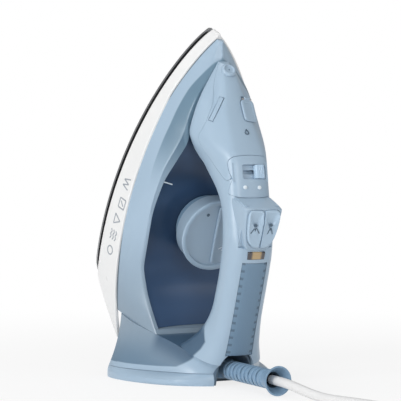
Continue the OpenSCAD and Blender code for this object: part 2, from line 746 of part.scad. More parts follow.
module arch_liner() intersection() {
    difference() {
        cord_arch(1.6);
        cord_arch(0);
    }
    rotate([90, 0, 0]) linear_extrude(60, center = true) polygon([
        [0, 0.5], [exit_x - 3.5, 0.5], [exit_x + 5, exit_h + 14.5], [exit_x + 5, 40], [0, 40]
    ]);
}

module cord_sleeve() color("lightsteelblue") translate([pivot_x, 0, exit_h]) difference() {
    union() {
        cylinder(r = pivot_r, h = pivot_h, center = true);
        rotate([0, 90, 0]) cylinder(d = sleeve_d - 2, h = sleeve_len - 8);
        for (i = [0:9]) translate([12 + 6 * i, 0, 0]) rotate([0, 90, 0]) cylinder(d = sleeve_d, h = 4.2);
        translate([sleeve_len - 16, 0, 0]) rotate([0, 90, 0]) cylinder(d1 = sleeve_d - 1, d2 = 22, h = 16);
    }
    translate([0, 0, pivot_h / 2 - 3.2]) cylinder(r = pin_r + shaft_gap, h = 10);
    translate([-20, 0, 0]) rotate([0, 90, 0]) cylinder(d = cord_d + 0.6, h = 140);
    translate([sleeve_len - 13, 0, 0]) rotate([0, 90, 0]) cylinder(d1 = cord_d + 1, d2 = 19, h = 13.1);
}

module cord() color("white") {
    tube(lead_in, cord_r, 8);
    tube(lead_out, cord_r, 8);
}

module cord_coil() color("white") translate([coil_c[0], coil_c[1], coil_base]) rotate_extrude() polygon([
    [coil_rows[3] - cord_r, 0], [coil_rows[0] + cord_r, 0], [coil_rows[0] + cord_r, cord_d],
    [coil_rows[1] + cord_r, cord_d + layer_h], [coil_rows[3] - cord_r, cord_d + layer_h]
]);

module coil_tie() color("black") translate([coil_c[0], coil_c[1] - 42, coil_base]) difference() {
    translate([-4, -18, 0]) cube([8, 34, cord_d + layer_h + 1.2]);
    translate([-5, -16, -1]) cube([10, 31, cord_d + layer_h + 1.2]);
}

plug_x = 283;
plug_y = 53;
plug_z = 12.5;
module plug_body() color("white") translate([plug_x, plug_y, plug_z]) rotate([0, 90, 0]) difference() {
    union() {
        cylinder(d1 = 11, d2 = 14, h = 14);
        translate([0, 0, 14]) cylinder(d1 = 16, d2 = 24.5, h = 12);
        translate([0, 0, 26]) cylinder(d = 24.5, h = 16);
    }
    translate([0, 0, -1]) cylinder(d = cord_d + 0.4, h = 8);
}

module plug_pins() color("silver") for (side = [-1, 1])
    translate([plug_x + 42, plug_y + side * 9.5 * 0.8, plug_z]) rotate([0, 90, 0]) cylinder(d = 4.8, h = 19);

soleplate();
sole_casting();
heating_element();
heater_terminals();
chamber_cover();
chamber_screws();
skirt();
body_shell();
tank_top();
water_tank();
tank_seal();
front_hood();
spray_nozzle();
filler_funnel();
filler_cap();
cap_hinge_pin();
side_inlay();
handle_shell();
slider_panel();
steam_slider();
valve_rod();
valve_seat();
button_housing();
burst_button();
spray_button();
burst_pump();
spray_pump();
burst_spring();
spray_spring();
pump_hoses();
rear_grip();
lamp_lens();
lamp();
temperature_dial();
dial_shaft();
dial_collar();
thermostat();
thermal_fuse();
rear_shell();
heel_foot();
heel_screws();
terminal_block();
power_leads();
cord_bush();
cord_sleeve();
cord();
cord_coil();
coil_tie();
plug_body();
plug_pins();
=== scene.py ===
"""Steam iron on its heel: smooth visible pieces, finishes, floor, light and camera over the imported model."""

import json
import math

import bpy
from mathutils import Matrix, Vector

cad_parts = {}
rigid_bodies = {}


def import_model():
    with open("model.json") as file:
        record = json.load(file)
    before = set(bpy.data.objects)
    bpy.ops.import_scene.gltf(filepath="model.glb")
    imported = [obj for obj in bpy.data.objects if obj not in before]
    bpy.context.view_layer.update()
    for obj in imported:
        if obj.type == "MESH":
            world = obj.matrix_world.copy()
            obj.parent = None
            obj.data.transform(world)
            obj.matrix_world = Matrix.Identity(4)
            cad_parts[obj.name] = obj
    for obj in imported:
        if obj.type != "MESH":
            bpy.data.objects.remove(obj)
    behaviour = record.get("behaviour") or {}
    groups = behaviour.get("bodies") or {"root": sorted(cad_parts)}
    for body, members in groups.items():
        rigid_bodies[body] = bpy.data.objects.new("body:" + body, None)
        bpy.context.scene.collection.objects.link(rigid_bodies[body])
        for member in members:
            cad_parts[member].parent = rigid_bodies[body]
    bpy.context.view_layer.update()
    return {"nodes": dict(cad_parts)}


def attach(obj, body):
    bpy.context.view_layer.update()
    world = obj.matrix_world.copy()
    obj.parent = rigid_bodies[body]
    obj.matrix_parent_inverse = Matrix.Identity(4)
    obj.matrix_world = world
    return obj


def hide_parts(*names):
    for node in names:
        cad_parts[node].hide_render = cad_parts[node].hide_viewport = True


bl_info = {
    "name": "Steam Iron",
    "version": (1, 0, 0),
    "blender": (4, 5, 0),
    "location": "View3D > Sidebar > Iron",
    "description": "Builds a steam iron standing on its heel, with its cord, finishes and stage",
    "category": "Object",
}

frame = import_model()
MM = 0.001

# Stance of the iron, in millimetres
LEAN = math.radians(21.5)
SIN, COS = math.sin(LEAN), math.cos(LEAN)
TIP_X = -3.9364
STAND_H = 272.5
FOOT_T = 9.0
EXIT_X = TIP_X + 38.5
PIVOT_X = EXIT_X - 17
EXIT_H = 11.5
SLEEVE_LEN = 86.0
BELL_AT = 70
RIB_AT, RIB_STEP, RIB_W = 12, 6, 4.2


def place(s, y, h):
    """A point of the iron's own frame (from the tip, across, above the sole) in the row frame, in metres."""
    return Vector((
        (TIP_X - s * SIN + h * COS) * MM,
        y * MM,
        (STAND_H - s * COS - h * SIN) * MM,
    ))


def heading(s, y, h):
    """A direction of the iron's own frame in the row frame."""
    return Vector((-s * SIN + h * COS, y, -s * COS - h * SIN))


# ---- profiles -------------------------------------------------------------


class Profile:
    """A smooth curve through a table of (station, value) that never overshoots it."""

    def __init__(self, table):
        self.x = [p[0] for p in table]
        self.y = [p[1] for p in table]
        n = len(table)
        step = [(self.y[i + 1] - self.y[i]) / (self.x[i + 1] - self.x[i]) for i in range(n - 1)]
        slope = [step[0]]
        for i in range(1, n - 1):
            a, b = step[i - 1], step[i]
            slope.append(0.0 if a * b <= 0 else 2 * a * b / (a + b))
        slope.append(step[-1])
        self.m = slope

    def __call__(self, x):
        if x <= self.x[0]:
            return self.y[0]
        if x >= self.x[-1]:
            return self.y[-1]
        i = max(k for k in range(len(self.x) - 1) if self.x[k] <= x)
        w = self.x[i + 1] - self.x[i]
        t = (x - self.x[i]) / w
        return (
            (2 * t**3 - 3 * t**2 + 1) * self.y[i]
            + (t**3 - 2 * t**2 + t) * w * self.m[i]
            + (3 * t**2 - 2 * t**3) * self.y[i + 1]
            + (t**3 - t**2) * w * self.m[i + 1]
        )


W_MAX = 65.5
WIDE_AT, TAPER, SKIRT_END, SKIRT_CUT, SOLE_LEN = 182.0, 8.5, 246.0, 205.0, 226.0
GAP_H, DRAFT, RIM_H, HANDLE_H, HANDLE_W = 6.5, 0.16, 48.0, 134.0, 36.0
BULKHEAD, COLUMN = 222.0, 80.0
SEAM_FRONT, SEAM_REAR, SEAM_TURN = 18.0, 36.0, 50

rim_y = Profile([(7, 1.5), (18, 4.5), (28, 12), (42, 22.5), (56, 28), (67, 30.5), (80, 36), (103, 45),
                 (135, 49.5), (175, 49.5), (193, 47.5), (215, 44), (222, 42.5)])
rim_rise = Profile([(7, -24), (18, -18), (28, -14), (42, -7), (56, -4), (67, -2), (80, 0), (175, 1),
                    (193, 7), (215, 25), (222, 32)])
top_drop = Profile([(18, -98), (23, -89), (31, -80), (43, -69.5), (59, -49), (70, -36), (88, -25), (100, -18),
                    (115, -9), (127, -3), (140, -0.5), (180, 1), (222, 2)])
under_rise = Profile([(80, 0), (88, 12), (94, 22), (99, 32), (106, 42), (118, 50), (138, 56.5), (163, 59),
                      (188, 58.5), (205, 55), (215, 50), (222, 45)])
under_y = Profile([(18, 4.5), (28, 12), (42, 22.5), (56, 28), (67, 30.5), (73, 28.5), (80, 24.5), (88, 20.5),
                   (99, 18), (180, 18), (195, 20), (205, 23.5), (215, 28.5), (222, 33)])
top_y = Profile([(18, -15), (23, -11), (30, -8.5), (43, -5), (59, -2), (70, -0.5), (180, 0), (205, 2), (222, 6)])


def skirt_w(s):
    if s <= WIDE_AT:
        return W_MAX * (1 - (1 - max(s, 0) / WIDE_AT) ** 2) ** 0.8
    return W_MAX - TAPER * ((s - WIDE_AT) / (SKIRT_END - WIDE_AT)) ** 2


def end_round(s):
    a = WIDE_AT + 8
    return 1.0 if s < a else math.sqrt(max(0.0, 1 - ((s - a) / (SOLE_LEN - a)) ** 3))


def seam_h(s):
    return SEAM_FRONT + (SEAM_REAR - SEAM_FRONT) * min(1, max(0, (s - SEAM_TURN) / (SKIRT_END - SEAM_TURN))) ** 0.8


def body_w(s):
    return skirt_w(s) - 1.4 - DRAFT * (seam_h(s) - GAP_H)


def rim_at(s):
    return RIM_H + rim_rise(s)


def top_h(s):
    return HANDLE_H + top_drop(s)


def under_h(s):
    return rim_at(s) if s <= COLUMN else RIM_H + under_rise(s)


def top_w(s):
    return HANDLE_W / 2 + top_y(s)


def spread(a, b, n, power=1.5):
    return [a + (b - a) * (i / n) ** power for i in range(n + 1)]


def steps(a, b, n):
    return [a + (b - a) * i / n for i in range(n + 1)]


def turns(count):
    """Cosine and sine of equal turns once round."""
    return [(math.cos(2 * math.pi * k / count), math.sin(2 * math.pi * k / count)) for k in range(count)]


def soften(points, times=2, closed=True):
    """Cuts the corners of a line of points, so that a few given points make a smooth section."""
    for _ in range(times):
        out = [] if closed else [points[0]]
        for i in range(len(points) - (0 if closed else 1)):
            a, b = points[i], points[(i + 1) % len(points)]
            out.append(tuple(0.75 * p + 0.25 * q for p, q in zip(a, b)))
            out.append(tuple(0.25 * p + 0.75 * q for p, q in zip(a, b)))
        if not closed:
            out.append(points[-1])
        points = out
    return points


# ---- making meshes ---------------------------------------------------------


def alone(obj):
    """Deselects everything and makes obj the only selected and active object."""
    if bpy.context.mode != "OBJECT":
        bpy.ops.object.mode_set(mode="OBJECT")
    for o in bpy.context.view_layer.objects:
        o.select_set(False)
    bpy.context.view_layer.objects.active = obj
    obj.select_set(True)


def put(name, data):
    obj = bpy.data.objects.new(name, data)
    bpy.context.scene.collection.objects.link(obj)
    return obj


def as_object(name, verts, faces):
    mesh = bpy.data.meshes.new(name)
    mesh.from_pydata([tuple(v) for v in verts], [], faces)
    mesh.validate()
    obj = put(name, mesh)
    face_out(obj)
    return obj


def face_out(obj):
    alone(obj)
    bpy.ops.object.mode_set(mode="EDIT")
    bpy.ops.mesh.select_all(action="SELECT")
    bpy.ops.mesh.normals_make_consistent(inside=False)
    bpy.ops.object.mode_set(mode="OBJECT")


def loft(name, rings, loop=False, caps=True):
    """Skin through rings of points that are already in the row frame."""
    n, m = len(rings[0]), len(rings)
    verts = [p for r in rings for p in r]
    faces = []
    for j in range(m if loop else m - 1):
        for i in range(n):
            a, b = j * n + i, j * n + (i + 1) % n
            c, d = ((j + 1) % m) * n + i, ((j + 1) % m) * n + (i + 1) % n
            faces.append((a, b, d, c))
    if caps and not loop:
        faces.append(tuple(range(n)))
        faces.append(tuple(reversed(range((m - 1) * n, m * n))))
    return as_object(name, verts, faces)


def prism(name, points, half=100.0):
    """Block across the iron with a side view given as (s, h) points."""
    n = len(points)
    verts = [place(s, y, h) for y in (-half, half) for s, h in points]
    faces = [tuple(range(n)), tuple(reversed(range(n, 2 * n)))]
    faces += [(i, (i + 1) % n, n + (i + 1) % n, n + i) for i in range(n)]
    return as_object(name, verts, faces)


def block(name, lo, hi, to=place):
    """Box between two corners of a local frame."""
    c = [(x, y, z) for x in (lo[0], hi[0]) for y in (lo[1], hi[1]) for z in (lo[2], hi[2])]
    faces = [(0, 1, 3, 2), (4, 6, 7, 5), (0, 4, 5, 1), (2, 3, 7, 6), (0, 2, 6, 4), (1, 5, 7, 3)]
    return as_object(name, [to(*p) for p in c], faces)


def column(name, plan, low, high, to=place):
    """Upright block over a plan of (s, y) points."""
    return loft(name, [[to(s, y, h) for s, y in plan] for h in (low, high)])


def cut(obj, tool, how="DIFFERENCE"):
    """Applies a Boolean with a tool, then removes the tool."""
    alone(obj)
    m = obj.modifiers.new("cut", "BOOLEAN")
    m.operation, m.object, m.solver = how, tool, "EXACT"
    bpy.ops.object.modifier_apply(modifier=m.name)
    remove(tool)
    return obj


def remove(obj):
    mesh = obj.data
    bpy.data.objects.remove(obj)
    bpy.data.meshes.remove(mesh)


def copy_of(obj, name):
    new = obj.copy()
    new.data = obj.data.copy()
    new.name = name
    bpy.context.scene.collection.objects.link(new)
    return new


def bevel(obj, width, segments=2, angle=35):
    alone(obj)
    m = obj.modifiers.new("edge", "BEVEL")
    m.width, m.segments, m.limit_method = width * MM, segments, "ANGLE"
    m.angle_limit = math.radians(angle)
    bpy.ops.object.modifier_apply(modifier=m.name)
    return obj


def smooth(obj, angle=32):
    alone(obj)
    bpy.ops.object.shade_smooth_by_angle(angle=math.radians(angle))
    return obj


def lathe(name, profile, centre, axis, sides=64, caps=True):
    """Turned piece: profile is (radius, along) in millimetres about an axis through centre."""
    axis = Vector(axis).normalized()
    u = axis.cross(Vector((0, 1, 0)))
    u = (u if u.length > 0.1 else axis.cross(Vector((1, 0, 0)))).normalized()
    v = axis.cross(u)
    rings = [[Vector(centre) + axis * z * MM + r * MM * (c * u + s * v) for c, s in turns(sides)]
             for r, z in profile]
    return loft(name, rings, caps=caps)


def join(name, *parts):
    alone(parts[0])
    for p in parts[1:]:
        p.select_set(True)
    bpy.ops.object.join()
    obj = bpy.context.view_layer.objects.active
    obj.name = name
    obj.data.name = name
    return obj


def settle(obj, body, slot, finish, *nodes):
    """Gives a finished piece its body and finish, and hides the CAD nodes that it stands for."""
    obj.data.materials.clear()
    obj.data.materials.append(FINISH[finish])
    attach(obj, body)
    if nodes:
        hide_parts(*nodes)
    return obj


# ---- finishes --------------------------------------------------------------


class Wire:
    """A value in a material, so that shader arithmetic can be written with the usual signs."""

    def __init__(self, paint, socket):
        self.paint, self.socket = paint, socket

    def __add__(self, other):
        return self.paint.maths("ADD", self, other)

    def __sub__(self, other):
        return self.paint.maths("SUBTRACT", self, other)

    def __rsub__(self, other):
        return self.paint.maths("SUBTRACT", other, self)

    def __mul__(self, other):
        return self.paint.maths("MULTIPLY", self, other)

    def __truediv__(self, other):
        return self.paint.maths("DIVIDE", self, other)

    __radd__, __rmul__ = __add__, __mul__

    def above(self, edge, soft):
        """0 below edge, 1 once past it by soft."""
        sockets = {"Value": self, "From Min": edge, "From Max": edge + soft}
        node = self.paint.node("ShaderNodeMapRange", sockets, interpolation_type="SMOOTHSTEP")
        return Wire(self.paint, node.outputs[0])

    def below(self, edge, soft):
        return 1.0 - self.above(edge - soft, soft)


class Paint:
    """A material with one main shader."""

    def __init__(self, name, colour, rough=0.4, metal=0.0, **fixed):
        self.material = bpy.data.materials.new(name)
        self.material.use_nodes = True
        self.tree = self.material.node_tree
        self.shader = self.tree.nodes["Principled BSDF"]
        self.shader.inputs["Base Color"].default_value = colour
        self.shader.inputs["Roughness"].default_value = rough
        self.shader.inputs["Metallic"].default_value = metal
        for key, value in fixed.items():
            self.shader.inputs[key.replace("_", " ")].default_value = value
        coords = self.tree.nodes.new("ShaderNodeTexCoord")
        self.here = Wire(self, coords.outputs["Object"])

    def node(self, kind, values=(), **settings):
        """Any node: its settings first, then the value or link of each socket."""
        n = self.tree.nodes.new(kind)
        for key, value in settings.items():
            setattr(n, key, value)
        for key, value in dict(values).items():
            socket = n.inputs[key]
            if isinstance(value, Wire):
                self.tree.links.new(value.socket, socket)
            else:
                socket.default_value = value
        return n

    def maths(self, how, *values):
        return Wire(self, self.node("ShaderNodeMath", enumerate(values), operation=how).outputs[0])

    def along(self, direction, origin=(0, 0, 0)):
        """Distance in millimetres along a direction from a point given in metres."""
        d = Vector(direction)
        scaled = tuple(x * 1000 for x in d)
        n = self.node("ShaderNodeVectorMath", {0: self.here, 1: scaled}, operation="DOT_PRODUCT")
        return Wire(self, n.outputs["Value"]) - 1000 * d.dot(Vector(origin))

    def iron(self):
        """Station from the tip, side and height above the sole, in millimetres."""
        tip = place(0, 0, 0)
        return (
            self.along(heading(1, 0, 0), tip),
            self.along((0, 1, 0)),
            self.along(heading(0, 0, 1), tip),
        )

    def noise(self, scale, detail=3.0, rough=0.5):
        sockets = {"Vector": self.here, "Scale": scale, "Detail": detail, "Roughness": rough}
        return Wire(self, self.node("ShaderNodeTexNoise", sockets).outputs[0])

    def mix(self, amount, a, b):
        factor, first, second, result = 0, 6, 7, 2
        n = self.node("ShaderNodeMix", {factor: amount, first: a, second: b}, data_type="RGBA")
        return Wire(self, n.outputs[result])

    def curve(self, value, low, high, points):
        """A value that follows a line of (value, result) points."""
        top = max(r for _, r in points)
        n = self.tree.nodes.new("ShaderNodeValToRGB")
        stops = n.color_ramp.elements
        for i, (v, r) in enumerate(points):
            at = (v - low) / (high - low)
            stop = stops[i] if i < 2 else stops.new(at)
            stop.position, stop.color = at, (r / top, r / top, r / top, 1.0)
        part = (value - low) / (high - low)
        self.tree.links.new(part.socket, n.inputs[0])
        return Wire(self, n.outputs[0]) * top

    def feed(self, name, value):
        self.tree.links.new(value.socket, self.shader.inputs[name])

    def colour(self, value):
        self.feed("Base Color", value)

    def rough(self, value):
        self.feed("Roughness", value)

    def bump(self, height, strength=0.3, distance=0.0002):
        n = self.node("ShaderNodeBump", {"Height": height, "Strength": strength, "Distance": distance})
        self.feed("Normal", Wire(self, n.outputs[0]))


def tint(colour, k):
    return (colour[0] * k, colour[1] * k, colour[2] * k, 1.0)


def plastic(name, colour, rough=0.34, grain=0.12, scale=1800.0, spread=0.04):
    """Moulded plastic: slight drift of colour, fine moulding grain and faint rub marks in the gloss."""
    p = Paint(name, colour, rough, 0.0, Specular_IOR_Level=0.5)
    drift = p.noise(14.0, 2.0)
    p.colour(p.mix(drift, tint(colour, 1 - spread), tint(colour, 1 + spread)))
    p.rough(p.noise(60.0, 4.0) * 0.12 + (rough - 0.06))
    p.bump(p.noise(scale, 2.0), grain, 0.00006)
    return p


def metal(name, colour, rough=0.3, along=(0, 1, 0), brushed=1.0):
    """Brushed metal: fine hairs that run along one axis."""
    p = Paint(name, colour, rough, 1.0)
    stretch = tuple(40.0 if a else 2400.0 for a in along)
    n = p.node("ShaderNodeMapping", {"Vector": p.here, "Scale": stretch})
    t = p.node("ShaderNodeTexNoise", {"Vector": Wire(p, n.outputs[0]), "Scale": 1.0, "Detail": 3.0})
    hair = Wire(p, t.outputs[0])
    p.colour(p.mix(hair, tint(colour, 0.86), tint(colour, 1.08)))
    p.rough(hair * 0.2 * brushed + (rough - 0.1 * brushed))
    p.bump(hair, 0.12 * brushed, 0.00004)
    return p


FINISH = {}
# Painted shade on the light shell: a dark hollow at the front of the body, shade low on the rear and handle, the
# deepest shade by the bulkhead, and a factor for shaded copies of the light colour
HOLLOW_PAINTED_SHADE = (0.135, 0.225, 0.305, 1.0)
LOW_PAINTED_SHADE = (0.135, 0.215, 0.30, 1.0)
DEEPEST_PAINTED_SHADE = (0.065, 0.12, 0.19, 1.0)
SHADED = 0.66
# Station and height of the crease on the rear and handle that parts the side's light band from its painted dark
# shade
CREASE = [(184, 103), (196, 110), (208.7, 121), (215, 120), (224, 116), (236.8, 105.6),
          (245.6, 85.5), (256.6, 56)]


def finishes():
    """Every finish of the iron, by the part that wears it."""
    c = bpy.context.scene.iron_colours
    light, mid, dark = (tuple(colour) + (1.0,) for colour in (c.shell, c.trim, c.tank))
    for key, name, colour, *rest in (
        ("shell", "shell_light_blue", light, 0.33),
        ("trim", "trim_mid_blue", mid, 0.36),
        ("deep", "trim_deep_blue", tint(mid, 0.45), 0.45),
        ("pale", "pale_blue", tint(light, 1.3), 0.3),
        ("seat", "button_blue", tint(light, 1.15), 0.34),
        ("skirt", "skirt_white", (0.77, 0.775, 0.775, 1.0), 0.3, 0.06),
        ("ink", "printed_grey", (0.33, 0.36, 0.40, 1.0), 0.5),
        ("ink_pale", "printed_pale", (0.72, 0.80, 0.86, 1.0), 0.5),
        ("ink_deep", "printed_blue", tint(mid, 0.45), 0.5),
        ("cord", "cord_white", (0.74, 0.74, 0.74, 1.0), 0.42, 0.1, 2200.0),
        ("plug", "plug_white", (0.80, 0.80, 0.81, 1.0), 0.4, 0.2, 900.0),
        ("tie", "tie_black", (0.02, 0.02, 0.022, 1.0), 0.5),
        ("inner", "inner_moulding", (0.68, 0.67, 0.62, 1.0), 0.5),
        ("bakelite", "bakelite_brown", (0.20, 0.13, 0.08, 1.0), 0.4, 0.3, 700.0),
        ("black", "rubber_black", (0.02, 0.02, 0.02, 1.0), 0.7, 0.4, 900.0),
        ("lead", "lead_brown", (0.20, 0.08, 0.05, 1.0), 0.45),
        ("hose", "hose_milky", (0.74, 0.74, 0.72, 1.0), 0.4),
    ):
        FINISH[key] = plastic(name, colour, *rest).material
    for key, name, colour, *rest in (
        # The casting is near black: its dark coating, and painted shade where it shows in the gap between sole and
        # skirt
        ("casting", "casting_dark", (0.06, 0.06, 0.065, 1.0), 0.55, (0, 1, 0), 0.5),
        ("steel", "plated_steel", (0.62, 0.62, 0.63, 1.0), 0.35, (0, 0, 1), 0.5),
        ("brass", "brass", (0.72, 0.55, 0.26, 1.0), 0.35, (0, 0, 1), 0.5),
        ("nickel", "pin_nickel", (0.74, 0.72, 0.66, 1.0), 0.22, (1, 0, 0), 0.4),
    ):
        FINISH[key] = metal(name, colour, *rest).material

    body = plastic("body_light_blue", light, 0.33)
    s, _, h = body.iron()
    seam = (s - SEAM_TURN).above(0.0, SKIRT_END - SEAM_TURN) * (SEAM_REAR - SEAM_FRONT) + SEAM_FRONT
    over = h - seam
    # Painted shade: up to station 118, the front of the side above its band takes a dark colour in place of the
    # shade cast by the hood
    hollow = (over - (s - 18.0) * 0.075 - 11.0).above(-0.6, 1.4) * s.below(118.0, 50.0)
    # Painted shade: the side grows darker towards the rear past station 140
    shade = body.mix(s.above(140.0, 90.0), light, tint(light, SHADED))
    shade = body.mix(hollow, shade, HOLLOW_PAINTED_SHADE)
    # Painted shadow: the lowest 1.3 mm of the side, over the seam with the skirt, is darkened as a shadow line
    body.colour(body.mix(over.below(1.3, 0.5), shade, tint(light, 0.3)))
    FINISH["body"] = body.material

    for name in ("rear", "handle"):
        p = plastic(name + "_light_blue", light, 0.33)
        s, _, h = p.iron()
        up = p.along((0, 0, 1))
        # Painted shade: below the crease the rear and handle take shade that darkens towards the floor, while the
        # rear's lowest 13 mm and the handle before station 206 keep the light colour
        crease = p.curve(s, 180.0, 260.0, CREASE)
        held = (h - crease).above(-1.2, 2.4)
        low = p.mix(up.above(12.0, 34.0), LOW_PAINTED_SHADE, tint(light, SHADED))
        # Where the deepest painted shade goes: by the bulkhead, above 76 mm
        floor = h.above(76.0, 8.0) * s.below(240.0, 16.0) * s.above(196.0, 6.0)
        low = p.mix(floor, low, DEEPEST_PAINTED_SHADE)
        edge = up.below(13.2, 0.6) if name == "rear" else s.below(206.0, 14.0)
        p.colour(p.mix(p.maths("MAXIMUM", held, edge), low, light))
        FINISH[name] = p.material

    tank = Paint("tank_tinted", dark, 0.28, 0.0, Specular_IOR_Level=0.35)
    s, _, _ = tank.iron()
    # Painted light seen in the tinted cover: lighter wavy streaks, over a colour that is darker at the front and
    # lighter towards the rear
    sockets = {"Vector": tank.here, "Scale": 20.0, "Distortion": 4.0, "Detail": 2.0}
    painted_streaks = tank.node("ShaderNodeTexWave", sockets)
    painted_glow = tank.mix(s.above(150.0, 66.0), tint(dark, 0.8), tint(dark, 1.35))
    tank.colour(tank.mix(Wire(tank, painted_streaks.outputs[1]) * 0.3, painted_glow, tint(dark, 1.9)))
    tank.bump(tank.noise(30.0, 2.0), 0.08, 0.001)
    FINISH["tank"] = tank.material

    grip = Paint("grip_grained", tint(mid, 0.9), 0.55, 0.0)
    s, y, _ = grip.iron()
    leather = grip.node("ShaderNodeTexVoronoi", {"Vector": grip.here, "Scale": 900.0})
    grain = Wire(grip, leather.outputs[0])
    cell = grip.maths("SINE", s * 1.05) * 0.5 + 0.5
    edge = grip.maths("ABSOLUTE", y).above(7.4, 0.6)
    # Painted shade in the dents across the grip's edges, which the bump also sinks
    shaded_dent = cell.above(0.62, 0.25) * edge
    grip.colour(grip.mix(shaded_dent, tint(mid, 0.95), tint(mid, 0.6)))
    grip.rough(grain * 0.2 + 0.48)
    grip.bump(grain * 0.25 - shaded_dent * 1.5, 0.5, 0.0004)
    FINISH["grip"] = grip.material

    sole = metal("sole_brushed", (0.55, 0.56, 0.58, 1.0), 0.3, (0, 1, 0))
    _, _, h = sole.iron()
    # Painted dark reflection on the polished sole's side, from 0.25 to 1.4 mm above the bottom
    dark_reflection_rim = h.above(0.25, 0.1) * h.below(1.4, 0.2)
    sole.colour(sole.mix(dark_reflection_rim, (0.50, 0.51, 0.53, 1.0), (0.05, 0.05, 0.055, 1.0)))
    FINISH["sole"] = sole.material

    rubber = plastic("sleeve_soft_blue", tint(mid, 1.25), 0.45, 0.2, 1200.0)
    axis = (0, 0, EXIT_H * MM)
    y, z = rubber.along((0, 1, 0), axis), rubber.along((0, 0, 1), axis)
    reach = rubber.maths("SQRT", y * y + z * z)
    # Painted shade in the deep troughs between the ribs, past 9 mm from the pivot
    shaded_slots = reach.below(6.05, 0.5) * rubber.along((1, 0, 0)).above(PIVOT_X + 9, 2.0)
    rubber.colour(rubber.mix(shaded_slots, tint(mid, 1.25), tint(mid, 0.3)))
    FINISH["sleeve"] = rubber.material

    lens = Paint("lamp_amber", (0.55, 0.27, 0.07, 1.0), 0.18, 0.0, Specular_IOR_Level=0.7, Coat_Weight=0.5)
    _, y, _ = lens.iron()
    # Painted light and shade on the lens: a lit amber middle fading to nearly black sides
    lit_middle = 1.0 - lens.maths("ABSOLUTE", y).above(2.6, 2.2)
    lens.colour(lens.mix(lit_middle, (0.05, 0.045, 0.05, 1.0), (0.44, 0.31, 0.15, 1.0)))
    lens.bump(lens.noise(700.0, 1.0), 0.2, 0.0002)
    FINISH["lens"] = lens.material


NODE_FINISH = {
    "sole_casting": "casting", "heating_element": "steel", "heater_terminals": "brass", "chamber_cover": "steel",
    "chamber_screws": "steel", "water_tank": "tank", "tank_seal": "black", "filler_funnel": "trim",
    "cap_hinge_pin": "steel", "valve_rod": "steel", "valve_seat": "brass", "burst_pump": "inner",
    "spray_pump": "inner", "burst_spring": "steel", "spray_spring": "steel", "pump_hoses": "hose", "lamp": "lens",
    "dial_shaft": "inner", "dial_collar": "trim", "thermostat": "bakelite", "thermal_fuse": "inner",
    "heel_screws": "steel", "terminal_block": "inner", "power_leads": "lead", "cord_bush": "deep",
}


# ---- local frames and outlines ---------------------------------------------


def local(origin, *turns):
    """Frame on the iron: origin as (s, y, h), then turns in degrees about x, y and z."""
    m = Matrix.Identity(3)
    for turn in turns:
        for axis, angle in reversed(list(zip("XYZ", turn))):
            m = m @ Matrix.Rotation(math.radians(angle), 3, axis)
    start = Vector(origin)
    return lambda x, y, z: place(*(start + m @ Vector((x, y, z))))


def upward(to):
    return to(0, 0, 0), to(0, 0, 1) - to(0, 0, 0)


def floor_frame(x, y, z):
    """Point given from the heel's foot, with x measured from the tip's foot on the floor."""
    return Vector(((TIP_X + x) * MM, y * MM, z * MM))


SLOT = local((78, 0, top_h(78)), (0, -31.4, 0))
FILLER = local((45.5, 9.6, 64.4), (0, -48, 0), (-14, 0, 0))
NOZZLE = local((21, 0, 41.6), (0, -61, 0))
INLAY = local((45.5, -14.5, 59.4), (50, -20.7, -31.5))


def inset(points, gap):
    """Outline moved inwards by gap, outwards where gap is negative."""
    n = len(points)
    area = sum(a[0] * b[1] - b[0] * a[1] for a, b in zip(points, points[1:] + points[:1]))
    side = 1 if area > 0 else -1
    out = []
    for i in range(n):
        a, b, c = (Vector(points[k % n]) for k in (i - 1, i, i + 1))
        u, v = (b - a).normalized(), (c - b).normalized()
        m = (Vector((-u.y, u.x)) + Vector((-v.y, v.x))).normalized() * side
        out.append(tuple(b + m * gap / max(0.5, m.dot(Vector((-u.y, u.x)) * side))))
    return out


def mirrored(half):
    """Closed section from a right half that runs from bottom centre to top centre."""
    return half + [(-y, h) for y, h in reversed(half[1:-1])]


def upper_section(s, wall=0.0, lift=0.0):
    b, c = under_y(s) - wall, top_w(s) - wall
    h0, h1 = under_h(s) + lift, top_h(s) - wall
    k = h1 - h0
    rb, rt = min(7, 0.3 * k) if s > 84 else 0.06 * k, min(8, 0.36 * k)
    half = [
        (0, h0), (0.72 * b, h0), (b, h0 + rb), ((b + c) / 2 + 0.015 * k, h0 + 0.5 * k), (c, h1 - rt),
        (0.74 * c, h1 - 0.24 * rt), (0.36 * c, h1 - 0.05 * rt), (0, h1),
    ]
    return [place(s, y, h) for y, h in soften(mirrored(half), 2)]


WALL = 2.6
# Side views of the pieces cut from the upper form, as (station, height)
HOOD_VIEW = [(0, 150), (66, 150), (66, 97), (73, 93), (79, 97), (84, 102.5), (87.5, 99), (85, 91), (79, 76),
             (69, 61), (56, 62), (40, 53), (28, 41.5), (18, 32), (0, 30)]
PANEL_VIEW = [(66, 150), (66, 97), (73, 93), (79, 97), (84, 102.5), (95, 104), (95, 150)]


def curved(view, first, last):
    """Side view with the corners between two of its points rounded."""
    return view[:first] + soften(view[first:last + 1], closed=False) + view[last + 1:]


HOOD_LINE = curved(HOOD_VIEW, 2, 13)
PANEL_LINE = curved(PANEL_VIEW, 1, 4)
FRONT_LINE = [(0, 150), (95, 150), (95, 104)] + soften(HOOD_VIEW[5:14], 2, closed=False) + [(0, 30)]


def upper_form(name):
    outer = loft(name, [upper_section(s) for s in steps(18, BULKHEAD, 102)])
    inner = loft("hollow", [upper_section(s, WALL, -1 if s < COLUMN else WALL) for s in steps(26, 223, 66)])
    return cut(outer, inner)


